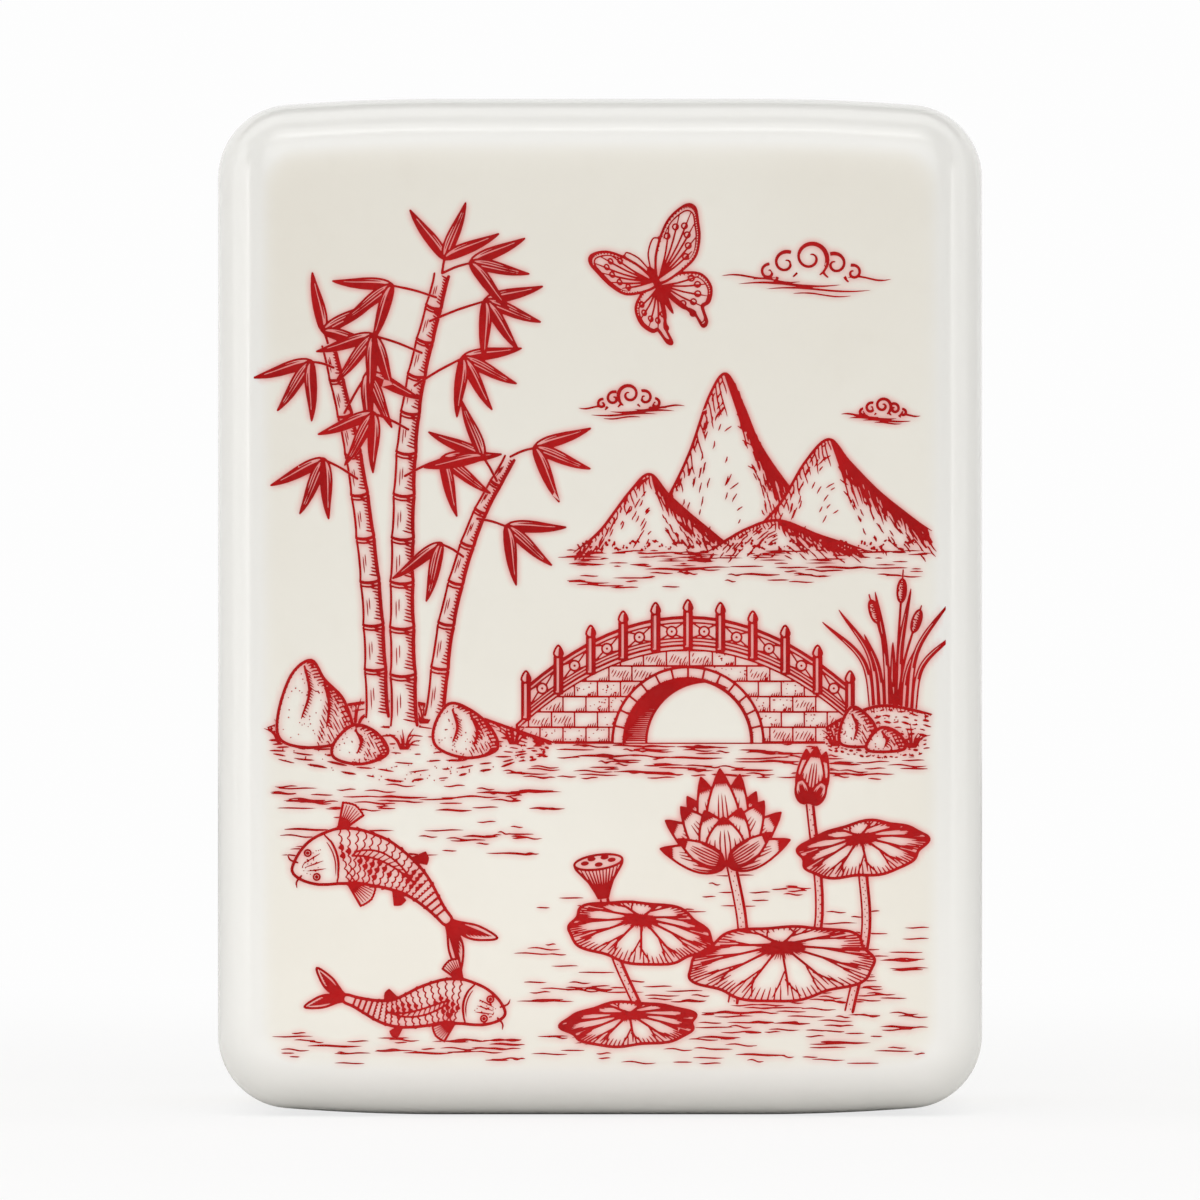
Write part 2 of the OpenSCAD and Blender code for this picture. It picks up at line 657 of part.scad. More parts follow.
function blade(k) =
  let (a = reed_fan * (2 * k / (reed_blades - 1) - 1), h = reed_h * (0.75 + 0.2 * sin(160 * k)),
    root = spot(reeds_at_share) + [(k - reed_blades / 2) * reed_gap, 0])
  smooth([root, root + h * [0.25 * sin(a), 0.55], root + h * [sin(a) * (1 + abs(a) / 60), cos(a)]], 2);
function head_stem(k) =
  let (a = reed_head_angles[k], h = reed_h * reed_head_shares[k], root = spot(reeds_at_share))
  smooth([root, root + h * [0.35 * sin(a), 0.5], root + h * [sin(a), cos(a)]], 3);

module reed_head(k) {
  end = head_stem(k);
  d = heading(end, 1);
  translate(along(end, 0.86)) rotate(atan2(d[1], d[0])) scale([reed_head_l, reed_head_w])
    circle(d = 1, $fn = 10);
}

module ink_reeds_lines() {
  for (k = [0 : reed_blades - 1]) stroke(blade(k), reed_w, 0.6, 0.2);
  for (k = [0 : len(reed_head_angles) - 1]) {
    difference() {
      stroke(head_stem(k), vein_w, 1, 0.6);
      reed_head(k);
    }
    inked_edge(vein_w) reed_head(k);
  }
}

module ink_reeds_shape() {
  for (k = [0 : reed_blades - 1]) stroke(blade(k), reed_w, 0.6, 0.2);
  for (k = [0 : len(reed_head_angles) - 1]) reed_head(k);
}

// Banks: the ground line of each and the line where it meets the water

bank_tops_shares = [
  [[0, 0.385], [0.08, 0.405], [0.18, 0.415], [0.28, 0.405], [0.38, 0.380], [0.43, 0.368]],
  [[0.84, 0.385], [0.88, 0.400], [0.93, 0.410], [1, 0.400]]
];
bank_feet_shares = [
  [[0, 0.350], [0.10, 0.335], [0.20, 0.322], [0.30, 0.330], [0.38, 0.345], [0.43, 0.352]],
  [[0.84, 0.360], [0.89, 0.352], [0.94, 0.350], [1, 0.355]]
];
bank_nicks = [20, 9];

bank_tops = [for (b = bank_tops_shares) smooth(spots(b), 4)];
bank_feet = [for (b = bank_feet_shares) smooth(spots(b), 4)];

function bank_point(k, s, f) = along(bank_tops[k], s) * (1 - f) + along(bank_feet[k], s) * f;

module bank_shape(k) {
  polygon(concat(bank_tops[k], [for (i = [len(bank_feet[k]) - 1 : -1 : 0]) bank_feet[k][i]]));
}

module ink_banks_shape() {
  for (k = [0 : len(bank_nicks) - 1]) bank_shape(k);
}

module ink_banks_lines() {
  for (k = [0 : len(bank_nicks) - 1]) {
    stroke(bank_tops[k], line_w, 0.4, 0.4);
    for (i = [1 : bank_nicks[k] - 2]) let (s = i / bank_nicks[k], f = 0.55 + 0.35 * sin(97 * i))
      stroke([bank_point(k, s, f), bank_point(k, s + 0.05, f)], line_w, 0.6, 0.3);
  }
}

// Rocks: the outline of each and the creases down its face

rocks_shares = [
  [[0.865, 0.365], [0.862, 0.385], [0.878, 0.408], [0.898, 0.402], [0.915, 0.385], [0.912, 0.365]],
  [[0.905, 0.358], [0.906, 0.372], [0.925, 0.385], [0.950, 0.378], [0.958, 0.360]],
  [[0.020, 0.370], [0.015, 0.400], [0.035, 0.445], [0.065, 0.462], [0.085, 0.440], [0.115, 0.415],
    [0.125, 0.375], [0.070, 0.362]],
  [[0.255, 0.362], [0.250, 0.385], [0.272, 0.412], [0.305, 0.405], [0.335, 0.385], [0.345, 0.360],
    [0.300, 0.350]],
  [[0.100, 0.350], [0.100, 0.368], [0.130, 0.388], [0.165, 0.378], [0.180, 0.355], [0.140, 0.343]]
];
creases_shares = [
  [[[0.880, 0.400], [0.887, 0.385], [0.882, 0.370]]],
  [[[0.925, 0.380], [0.932, 0.370], [0.928, 0.362]]],
  [[[0.055, 0.455], [0.062, 0.425], [0.050, 0.395]], [[0.085, 0.435], [0.092, 0.410], [0.088, 0.385]]],
  [[[0.278, 0.405], [0.285, 0.385], [0.278, 0.368]], [[0.305, 0.400], [0.315, 0.380], [0.310, 0.365]]],
  [[[0.132, 0.382], [0.140, 0.368], [0.134, 0.355]]]
];

module rock_shape(k) {
  polygon(smooth_ring(spots(rocks_shares[k]), 2));
}

module rock_lines(k) {
  inked_edge(line_w) rock_shape(k);
  for (crease = creases_shares[k]) let (line = smooth(spots(crease), 2)) {
    stroke(line, line_w, 0.9, 0.4);
    for (i = [1 : 3]) let (p = along(line, i / 4), reach = line_w * (5 - i))
      stroke([p, p + reach * [0.75, -0.55]], vein_w, 1, 0.2);
  }
}

module ink_rocks_shape() {
  for (k = [0 : len(rocks_shares) - 1]) rock_shape(k);
}

module ink_rocks_lines() {
  last = len(rocks_shares) - 1;
  for (k = [0 : last]) difference() {
    rock_lines(k);
    if (k < last) for (j = [k + 1 : last]) offset(r = gap_w / 2, $fn = 8) rock_shape(j);
  }
}

// Carp: the line of each back from snout to tail, and the half girth at shares of its length

carps_shares = [
  [[0.045, 0.222], [0.125, 0.238], [0.210, 0.213], [0.272, 0.162]],
  [[0.350, 0.058], [0.275, 0.072], [0.190, 0.058], [0.115, 0.075]]
];
carp_width_shares = [1, 0.8];
girth_shares = [[0, 0.36], [0.06, 0.66], [0.16, 0.90], [0.30, 1], [0.50, 0.86], [0.72, 0.52], [0.90, 0.24],
  [1, 0.16]];
carp_lines_run = [for (c = carps_shares) smooth(spots(c), 8)];
scale_rows = 7;
// Fins: share along the back, side, direction off the back line, reach in girths, and spread
fins_shares = [[0.27, 1, 48, 0.62, 44], [0.27, -1, 48, 0.62, 44], [0.62, 1, 36, 0.36, 36],
  [0.62, -1, 36, 0.36, 36]];
tail_shares = [[-0.05, 0], [0.12, 0.10], [0.34, 0.26], [0.62, 0.34], [0.50, 0.16], [0.34, 0.04],
  [0.10, -0.01]];
tail_size = 1.35;

function carp_half(k, s) = carp_w * carp_width_shares[k] / 2 * lookup(s, girth_shares);
function carp_spot(k, s, f) = beside(carp_lines_run[k], s, f * carp_half(k, s));
function course(k, s) = let (d = heading(carp_lines_run[k], s)) atan2(d[1], d[0]);

module fin_place(k, fin) {
  translate(carp_spot(k, fin[0], 0.8 * fin[1])) rotate(course(k, fin[0]) + fin[1] * fin[2]) children();
}

module fin_shape(k, fin) {
  size = carp_w * carp_width_shares[k] * fin[3];
  fin_place(k, fin) polygon(concat([[0, 0]],
    [for (i = [-2 : 2]) size * (1 - 0.06 * abs(i)) * aim(fin[4] / 4 * i)]));
}

module fin_lines(k, fin) {
  size = carp_w * carp_width_shares[k] * fin[3];
  inked_edge(vein_w) fin_shape(k, fin);
  fin_place(k, fin) stroke([[0, 0], [0.8 * size, 0]], vein_w, 1, 0.6);
}

module tail_shape(k) {
  size = carp_w * carp_width_shares[k] * tail_size;
  translate(carp_spot(k, 0.985, 0)) rotate(course(k, 0.985)) for (side = [-1, 1])
    polygon(smooth_ring([for (p = tail_shares) size * [p[0], side * p[1]]], 2));
}

module carp_body(k) {
  snout = carp_spot(k, 0, 0) - carp_half(k, 0) * 0.6 * heading(carp_lines_run[k], 0);
  polygon(concat([snout], [for (i = [0 : 14]) carp_spot(k, i / 14, 1)],
    [for (i = [14 : -1 : 0]) carp_spot(k, i / 14, -1)]));
}

// Rows of scales, each row one scalloped line across the back
module carp_scales(k) {
  for (i = [0 : scale_rows - 1]) let (s = 0.31 + 0.62 * i / scale_rows)
    stroke([for (j = [0 : 8]) carp_spot(k, s + (j % 2) * 0.03, (j - 4) / 4.4)], vein_w, 1, 1);
}

module carp_marks(k) {
  stroke([for (f = [-0.9, -0.45, 0, 0.45, 0.9]) carp_spot(k, 0.20 + 0.05 * (1 - f * f), f)],
    vein_w, 0.7, 0.7);
  for (f = [-0.62, 0.62]) translate(carp_spot(k, 0.09, f)) circle(vein_w, $fn = 6);
}

module carp_shape(k) {
  tail_shape(k);
  for (fin = fins_shares) fin_shape(k, fin);
  carp_body(k);
}

module carp_lines(k) {
  difference() {
    union() {
      inked_edge(vein_w) tail_shape(k);
      for (fin = fins_shares) fin_lines(k, fin);
    }
    carp_body(k);
  }
  inked_edge(line_w) carp_body(k);
  intersection() {
    carp_body(k);
    union() {
      carp_scales(k);
      carp_marks(k);
    }
  }
}

module ink_carp_shape() {
  for (k = [0 : len(carps_shares) - 1]) carp_shape(k);
}

module ink_carp_lines() {
  for (k = [0 : len(carps_shares) - 1]) carp_lines(k);
}

// The picture

module motif_lines(name) {
  if (name == "ink_clouds") ink_clouds_lines();
  if (name == "ink_mountains") ink_mountains_lines();
  if (name == "ink_butterfly") ink_butterfly_lines();
  if (name == "ink_ripples") ink_ripples_lines();
  if (name == "ink_reeds") ink_reeds_lines();
  if (name == "ink_bridge") ink_bridge_lines();
  if (name == "ink_banks") ink_banks_lines();
  if (name == "ink_bamboo_stalks") ink_bamboo_stalks_lines();
  if (name == "ink_rocks") ink_rocks_lines();
  if (name == "ink_bamboo_leaves") ink_bamboo_leaves_lines();
  if (name == "ink_lotus_leaves") ink_lotus_leaves_lines();
  if (name == "ink_lotus_flowers") ink_lotus_flowers_lines();
  if (name == "ink_carp") ink_carp_lines();
}

module motif_shape(name) {
  if (name == "ink_clouds") ink_clouds_shape();
  if (name == "ink_mountains") ink_mountains_shape();
  if (name == "ink_butterfly") ink_butterfly_shape();
  if (name == "ink_reeds") ink_reeds_shape();
  if (name == "ink_bridge") ink_bridge_shape();
  if (name == "ink_banks") ink_banks_shape();
  if (name == "ink_bamboo_stalks") ink_bamboo_stalks_shape();
  if (name == "ink_rocks") ink_rocks_shape();
  if (name == "ink_bamboo_leaves") ink_bamboo_leaves_shape();
  if (name == "ink_lotus_leaves") ink_lotus_leaves_shape();
  if (name == "ink_lotus_flowers") ink_lotus_flowers_shape();
  if (name == "ink_carp") ink_carp_shape();
}

// Lines of one motif that no motif in front of it hides
module motif(name) {
  rank = search([name], MOTIFS)[0];
  difference() {
    motif_lines(name);
    if (rank < len(MOTIFS) - 1) for (i = [rank + 1 : len(MOTIFS) - 1])
      offset(r = gap_w, $fn = 8) motif_shape(MOTIFS[i]);
  }
}

// Print of one motif, as a film on the face, without gaps or slivers too fine to print
module film(name) {
  translate([0, 0, face_z]) linear_extrude(ink_t) offset(delta = fine_w / 2) offset(delta = -fine_w)
    offset(delta = fine_w / 2) motif(name);
}

// The blocks

// A quarter of the tile's outline, inset by d, from its right-hand side round to its upper end
function quarter(d) = concat(
  [for (i = [0 : corner_steps]) [corner_x, corner_y] +
    (corner_r - d) * aim((90 - shoulder_a) * i / corner_steps)],
  [for (i = [1 : shoulder_steps]) [shoulder_x, shoulder_y] +
    (shoulder_r - d) * aim(90 - shoulder_a * (1 - i / shoulder_steps))]);

function outline(d) =
  let (half = concat(quarter(d), [for (p = reversed(quarter(d))) [-p[0], p[1]]]))
  concat(half, -half);

// Insets and heights of the rounded rim whose flat lies at z, on the upper side or the lower one
function rim(z, side) = [for (i = [0 : rim_steps]) let (a = 90 * i / rim_steps)
  [edge_r * (1 - cos(a)), z - side * edge_r * (1 - sin(a))]];
function reversed(p) = [for (i = [len(p) - 1 : -1 : 0]) p[i]];

// Solid through the outline at each of the listed insets and heights
module loft(rings) {
  n = len(outline(0));
  last = len(rings) - 1;
  polyhedron([for (r = rings) for (p = outline(r[0])) [p[0], p[1], r[1]]], concat(
    [[for (i = [0 : n - 1]) i]],
    [for (k = [0 : last - 1]) for (i = [0 : n - 1])
      [k * n + i, (k + 1) * n + i, (k + 1) * n + (i + 1) % n, k * n + (i + 1) % n]],
    [[for (i = [n - 1 : -1 : 0]) last * n + i]]));
}

// Stands the tile on its lower end with its face to the front
module standing() {
  translate([0, 0, tile_h / 2]) rotate([90, 0, 0]) children();
}

module face_block() {
  color("ivory") standing() loft(concat([[0, block_z]], rim(face_z, 1)));
}

module bond_layer() {
  color("wheat") standing() translate([0, 0, bond_z]) linear_extrude(bond_t) polygon(outline(0));
}

module back_block() {
  color("ivory") standing() loft(concat(reversed(rim(back_z, -1)), [[0, bond_z]]));
}

module ink(name) {
  color("firebrick") standing() film(name);
}

face_block();
bond_layer();
back_block();
for (name = MOTIFS) ink(name);
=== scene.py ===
import json
import math
import random

import bpy
import numpy as np
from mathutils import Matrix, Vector
from mathutils.bvhtree import BVHTree
from mathutils.geometry import delaunay_2d_cdt

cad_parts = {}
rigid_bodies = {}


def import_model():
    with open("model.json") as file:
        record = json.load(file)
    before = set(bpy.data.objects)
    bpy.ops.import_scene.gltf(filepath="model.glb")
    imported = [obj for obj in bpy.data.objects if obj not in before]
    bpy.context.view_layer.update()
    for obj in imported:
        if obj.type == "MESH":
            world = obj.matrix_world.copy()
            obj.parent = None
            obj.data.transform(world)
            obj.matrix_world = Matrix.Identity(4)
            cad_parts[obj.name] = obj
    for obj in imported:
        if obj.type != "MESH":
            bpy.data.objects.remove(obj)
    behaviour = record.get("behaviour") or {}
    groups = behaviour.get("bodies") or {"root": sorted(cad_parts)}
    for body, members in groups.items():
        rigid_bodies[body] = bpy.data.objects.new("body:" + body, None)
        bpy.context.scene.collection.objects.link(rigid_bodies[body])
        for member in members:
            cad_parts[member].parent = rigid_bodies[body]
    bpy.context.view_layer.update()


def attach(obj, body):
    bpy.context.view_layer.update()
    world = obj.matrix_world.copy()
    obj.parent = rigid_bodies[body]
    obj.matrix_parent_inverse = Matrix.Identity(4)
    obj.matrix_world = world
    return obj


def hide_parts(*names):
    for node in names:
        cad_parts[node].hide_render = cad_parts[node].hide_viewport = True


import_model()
mm = 0.001

for item in list(bpy.data.objects):
    if item.type in ("LIGHT", "CAMERA") or item.name == "Cube":
        bpy.data.objects.remove(item)

# Sizes in millimetres, as the solids have them
tile = {
    "width": 30.1,
    "height": 40.0,
    "depth": 22.0,
    "backDepth": 7.5,
    "bondDepth": 0.15,
    "cornerRadius": 2.9,
    "shoulderRadius": 80.0,
    "shoulderAngle": 4.5,
}
picture = {
    "width": 26.0,
    "height": 34.2,
    "foot": 2.1,
    "cell": 0.02,  # grid step of the drawing board
    "margin": 30,  # spare cells round the picture
    "outlinePen": 1.08,  # share of the drawn width that main lines get
    "hatchPen": 1.2,  # share of the drawn width that fine lines get
    "fineBelow": 0.062,  # lines narrower than this count as fine
}
cell, margin = picture["cell"], picture["margin"]
columns = int(picture["width"] / cell) + 2 * margin
rows = int(picture["height"] / cell) + 2 * margin
layers = {}


# Drawing board

def place(u, v):
    return (u * picture["width"], v * picture["height"])


def places(pairs):
    return [place(*pair) for pair in pairs]


def aim(angle):
    return (math.cos(math.radians(angle)), math.sin(math.radians(angle)))


def off(point, reach, angle):
    c, s = aim(angle)
    return (point[0] + reach * c, point[1] + reach * s)


def toward(a, b, share):
    return (a[0] + (b[0] - a[0]) * share, a[1] + (b[1] - a[1]) * share)


def middleOf(points):
    return (sum(p[0] for p in points) / len(points), sum(p[1] for p in points) / len(points))


def turned(points, origin=(0, 0), angle=0, size=1, flip=1):
    c, s = aim(angle)
    return [(origin[0] + size * (flip * x * c - y * s), origin[1] + size * (flip * x * s + y * c))
            for x, y in points]


def smooth(points, steps, closed=False):
    n = len(points)
    line = []
    for i in range(n if closed else n - 1):
        b, c = points[i], points[(i + 1) % n]
        a = points[(i - 1) % n] if closed or i > 0 else (2 * b[0] - c[0], 2 * b[1] - c[1])
        d = points[(i + 2) % n] if closed or i < n - 2 else (2 * c[0] - b[0], 2 * c[1] - b[1])
        for k in range(steps):
            t = k / steps
            line.append(tuple(0.5 * (2 * b[j] + (c[j] - a[j]) * t
                                     + (2 * a[j] - 5 * b[j] + 4 * c[j] - d[j]) * t ** 2
                                     + (3 * b[j] - a[j] - 3 * c[j] + d[j]) * t ** 3) for j in (0, 1)))
    if not closed:
        line.append(tuple(points[-1]))
    return line


def along(line, share):
    k = share * (len(line) - 1)
    i = min(max(int(k), 0), len(line) - 2)
    return toward(line[i], line[i + 1], k - i)


def heading(line, share):
    i = min(max(int(share * (len(line) - 1)), 0), len(line) - 2)
    a, b = line[i], line[i + 1]
    reach = math.dist(a, b) or 1e-9
    return ((b[0] - a[0]) / reach, (b[1] - a[1]) / reach)


def beside(line, share, aside):
    p, d = along(line, share), heading(line, share)
    return (p[0] - d[1] * aside, p[1] + d[0] * aside)


def run(line):
    return sum(math.dist(a, b) for a, b in zip(line, line[1:]))


def capsule(sheet, a, b, startHalf, endHalf, ink=1.0):
    reach = max(startHalf, endHalf) + cell
    x0 = max(int((min(a[0], b[0]) - reach) / cell) + margin, 0)
    x1 = min(int((max(a[0], b[0]) + reach) / cell) + margin + 2, columns)
    y0 = max(int((min(a[1], b[1]) - reach) / cell) + margin, 0)
    y1 = min(int((max(a[1], b[1]) + reach) / cell) + margin + 2, rows)
    if x1 <= x0 or y1 <= y0:
        return
    xs = (np.arange(x0, x1) - margin) * cell
    ys = ((np.arange(y0, y1) - margin) * cell)[:, None]
    dx, dy = b[0] - a[0], b[1] - a[1]
    t = np.clip(((xs - a[0]) * dx + (ys - a[1]) * dy) / (dx * dx + dy * dy or 1e-9), 0, 1)
    away = np.hypot(xs - a[0] - t * dx, ys - a[1] - t * dy) - (startHalf + (endHalf - startHalf) * t)
    part = sheet[y0:y1, x0:x1]
    cover = np.clip(0.5 - away / cell, 0, 1)
    if ink:
        np.maximum(part, cover, out=part)
    else:
        part *= 1 - cover


def penWidth(width):
    return width * (picture["hatchPen"] if width < picture["fineBelow"] else picture["outlinePen"])


def pen(name, line, width, start=0.25, end=0.25, swell=0.3):
    sheet = layers[name]
    lengths = [0.0]
    for a, b in zip(line, line[1:]):
        lengths.append(lengths[-1] + math.dist(a, b))
    total = lengths[-1] or 1e-6
    halves = [penWidth(width) / 2 * min(1, start + (1 - start) * s / total / swell,
                                        end + (1 - end) * (1 - s / total) / swell) for s in lengths]
    for i in range(len(line) - 1):
        capsule(sheet, line[i], line[i + 1], halves[i], halves[i + 1])


def spans(outline):
    ys = [p[1] for p in outline]
    first = max(int(math.floor(min(ys) / cell)) + margin, 0)
    last = min(int(math.ceil(max(ys) / cell)) + margin, rows - 1)
    for row in range(first, last + 1):
        for a, b in crossings(outline, (row - margin) * cell + 1e-7):
            i, j = int(math.ceil(a / cell)) + margin, int(math.floor(b / cell)) + margin + 1
            yield row, max(i, 0), max(min(j, columns), 0)


def erase(outline, others=0.0):
    for row, i, j in spans(outline):
        for sheet in layers.values():
            sheet[row, i:j] = 0
    if others:
        for a, b in zip(outline, outline[1:] + outline[:1]):
            for sheet in layers.values():
                capsule(sheet, a, b, others, others, 0)


def fill(name, outline, rim=0.02):
    for row, i, j in spans(outline):
        layers[name][row, i:j] = 1
    loop(name, outline, rim)


def loop(name, outline, width):
    pen(name, list(outline) + [outline[0]], width, 1, 1)


def outlined(name, outline, width, gap=0.0):
    erase(outline, gap)
    loop(name, outline, width)


def dot(name, centre, radius):
    capsule(layers[name], centre, centre, radius, radius)


def crossings(outline, y):
    sides = zip(outline, outline[1:] + outline[:1])
    xs = sorted(a[0] + (b[0] - a[0]) * (y - a[1]) / (b[1] - a[1])
                for a, b in sides if (a[1] <= y) != (b[1] <= y))
    return list(zip(xs[::2], xs[1::2]))


def ruled(name, outline, angle, gap, width, rng, long=1.0):
    flat = turned(outline, (0, 0), -angle)
    y, top = min(p[1] for p in flat) + 0.6 * gap, max(p[1] for p in flat)
    while y < top:
        for a, b in crossings(flat, y):
            x = a + rng.uniform(0, 0.12)
            while x < b - 0.08:
                end = min(b - rng.uniform(0, 0.1), x + long * rng.uniform(0.35, 1.1))
                if end - x > 0.08:
                    stroke = [(x, y), ((x + end) / 2, y + rng.uniform(-0.015, 0.015)), (end, y)]
                    pen(name, turned(stroke, (0, 0), angle), width, 0.5, 0.2)
                x = end + rng.uniform(0.07, 0.2)
        y += gap * rng.uniform(0.85, 1.15)


def stippled(name, outline, count, rng, small=0.018, large=0.034):
    low, high = min(p[1] for p in outline), max(p[1] for p in outline)
    for i in range(count):
        y = rng.uniform(low, high)
        parts = crossings(outline, y)
        if parts:
            a, b = rng.choice(parts)
            dot(name, (rng.uniform(a, b), y), rng.uniform(small, large))


def disc(centre, radius, n=24, high=None, angle=0):
    return turned([(radius * math.cos(2 * math.pi * i / n), (high or radius) * math.sin(2 * math.pi * i / n))
                   for i in range(n)], centre, angle)


# Clouds

clouds = {
    "at": [(0.815, 0.905), (0.545, 0.755), (0.925, 0.745)],
    "sizes": [2.55, 1.6, 1.2],
    "hands": [1, -1, 1],
    "turns": 1.4,
    "tighten": 0.84,  # how much of its radius a scroll loses
}
cloudScrolls = [(-0.62, 0.02, 0.17), (0.68, 0.01, 0.16), (-0.36, 0.16, 0.24), (0.40, 0.14, 0.23),
                (0.02, 0.24, 0.30)]
cloudTrails = [(-1.15, 0.55, -0.17, 0.085), (-0.75, 1.05, -0.25, 0.07), (-1.40, -0.45, -0.05, 0.07),
               (0.55, 1.30, -0.08, 0.07), (-0.35, 0.75, -0.33, 0.05), (-0.95, -0.05, -0.11, 0.045)]


def drawCloud(origin, size, flip):
    name = "ink_clouds"
    put = lambda points: [(origin[0] + flip * size * x, origin[1] + size * y) for x, y in points]
    for x, y, r in cloudScrolls:
        erase(put(disc((x, y), r, 40)), 0.02)
        hand = 1 if x <= 0.1 else -1
        coil = lambda t, share=1: off((x, y), r * (1 - clouds["tighten"] * t) * share,
                                      90 + hand * (360 * clouds["turns"] * t - 150))
        spiral = [coil(i / 48) for i in range(49)]
        pen(name, put(spiral), 0.10, 0.6, 0.5, 0.1)
        pen(name, put([toward((x, y), p, 0.86) for p in spiral[2:22]]), 0.05, 0.2, 0.2)
        for i in range(11):
            pen(name, put([coil(0.06 + 0.03 * i, s) for s in (0.97, 0.83)]), 0.04, 1, 0.2)
    for x0, x1, y, width in cloudTrails:
        trail = [(x0 + (x1 - x0) * i / 16, y + 0.03 * math.sin(2 * math.pi * i / 16)) for i in range(17)]
        pen(name, put(trail), width, 0.1, 0.1)


# Mountains

mountains = {"foot": 0.575, "hatchGap": 0.14, "fall": 0.5, "near": 0.22, "strokes": 34}
ridges = [
    [(0.56, 0.600), (0.60, 0.645), (0.635, 0.700), (0.665, 0.765), (0.69, 0.790), (0.715, 0.755),
     (0.74, 0.710), (0.78, 0.665), (0.82, 0.630)],
    [(0.72, 0.600), (0.77, 0.640), (0.81, 0.690), (0.845, 0.715), (0.875, 0.690), (0.92, 0.655),
     (0.97, 0.625), (1, 0.610)],
    [(0.46, 0.585), (0.50, 0.610), (0.545, 0.655), (0.575, 0.675), (0.605, 0.650), (0.65, 0.620),
     (0.70, 0.590)],
    [(0.66, 0.585), (0.72, 0.612), (0.77, 0.622), (0.83, 0.605), (0.90, 0.588)],
]


def drawMountains():
    name = "ink_mountains"
    rng = random.Random(21)
    foot = place(0, mountains["foot"])[1]
    for route in ridges:
        line = smooth(places(route), 12)
        erase(line + [(line[-1][0], foot), (line[0][0], foot)], 0.02)
        pen(name, line, 0.1, 0.3, 0.3, 0.12)
        left, right = line[0][0], line[-1][0]
        tops = [p[0] for p in line], [p[1] for p in line]
        for i in range(2, int((right - left) / mountains["hatchGap"]) - 1):
            x = left + i * mountains["hatchGap"]
            y = float(np.interp(x, *tops))
            falls = np.interp(x + 0.05, *tops) < y
            depth = y - foot
            if depth < 0.4:
                continue
            share = mountains["fall"] if falls else mountains["near"]
            reach = depth * share * (0.8 + 0.3 * math.sin(2.4 * i)) * rng.uniform(0.8, 1.1)
            lean = 0.3 if falls else 0.22
            strand = [(x + lean * reach * t + 0.03 * math.sin(5 * t + i), y - 0.03 - reach * t)
                      for t in (0, 0.25, 0.5, 0.75, 1)]
            pen(name, strand, (0.07 if i % 2 else 0.055) if falls else 0.045, 1, 0.1)
            if falls and depth > 0.8:
                middle = [(px + 0.5 * mountains["hatchGap"], py - 0.04) for px, py in strand[:3]]
                pen(name, middle, 0.045, 1, 0.1)
        for i in range(int(mountains["strokes"] * run(line))):  # short strokes that follow the slopes
            share, sink = rng.uniform(0.04, 0.96), rng.random() ** 1.2
            x, y = along(line, share)
            dx, dy = heading(line, share)
            falls = dy < 0
            depth = y - foot
            if depth < 0.5 or rng.random() > (1.1 - sink if falls else 0.55 - 0.5 * sink):
                continue
            x += (0.22 if falls else 0.12) * depth * sink
            y -= 0.1 + depth * 0.86 * sink
            vx, vy = (dx, dy - 0.5) if falls else (-dx, -dy - 0.5)
            reach = rng.uniform(0.22, 0.55) / math.hypot(vx, vy)
            if y + reach * vy > foot - 0.1:
                bow = rng.uniform(-0.04, 0.04)
                pen(name, [(x, y), (x + 0.5 * reach * vx + bow, y + 0.5 * reach * vy),
                           (x + reach * vx, y + reach * vy)], 0.052, 0.6, 0.1)
    for i in range(80):  # mist and far water
        x, y = place(rng.uniform(0.45, 0.99), 0.588 - abs(rng.gauss(0, 0.009)))
        half = min(rng.uniform(0.15, 0.7), picture["width"] - x)
        pen(name, [(x - half, y), (x, y + 0.01), (x + half, y)], 0.05, 0.2, 0.2)
    for i in range(54):  # far trees along the foot
        x, y = place(0.47 + 0.51 * i / 54, 0.592 + 0.004 * math.sin(1.7 * i))
        for k in range(4):
            dot(name, (x + rng.uniform(-0.12, 0.12), y + rng.uniform(-0.02, 0.14)), rng.uniform(0.03, 0.06))


# Butterfly

butterfly = {"at": (0.585, 0.895), "tilt": 28, "span": 4.1, "farWing": 0.72}
hindWing = [(0.03, -0.02), (0.20, -0.02), (0.40, -0.12), (0.44, -0.28), (0.36, -0.40), (0.28, -0.42),
            (0.25, -0.56), (0.19, -0.58), (0.18, -0.42), (0.10, -0.32), (0.04, -0.16)]
foreWing = [(0.03, 0.06), (0.14, 0.26), (0.36, 0.46), (0.58, 0.52), (0.66, 0.46), (0.62, 0.32), (0.56, 0.18),
            (0.44, 0.04), (0.24, -0.02), (0.04, -0.03)]
hindVeins = [(0.38, -0.14), (0.41, -0.24), (0.36, -0.34), (0.27, -0.40), (0.20, -0.52), (0.15, -0.36)]
foreVeins = [(0.36, 0.42), (0.50, 0.47), (0.60, 0.43), (0.58, 0.32), (0.53, 0.20), (0.44, 0.10)]
butterflyBody = [(0, 0.16), (0.035, 0.10), (0.028, 0), (0.03, -0.14), (0, -0.34), (-0.03, -0.14), (-0.028, 0),
                 (-0.035, 0.10)]
feeler = [(0.01, 0.14), (0.06, 0.28), (0.16, 0.38), (0.22, 0.36)]


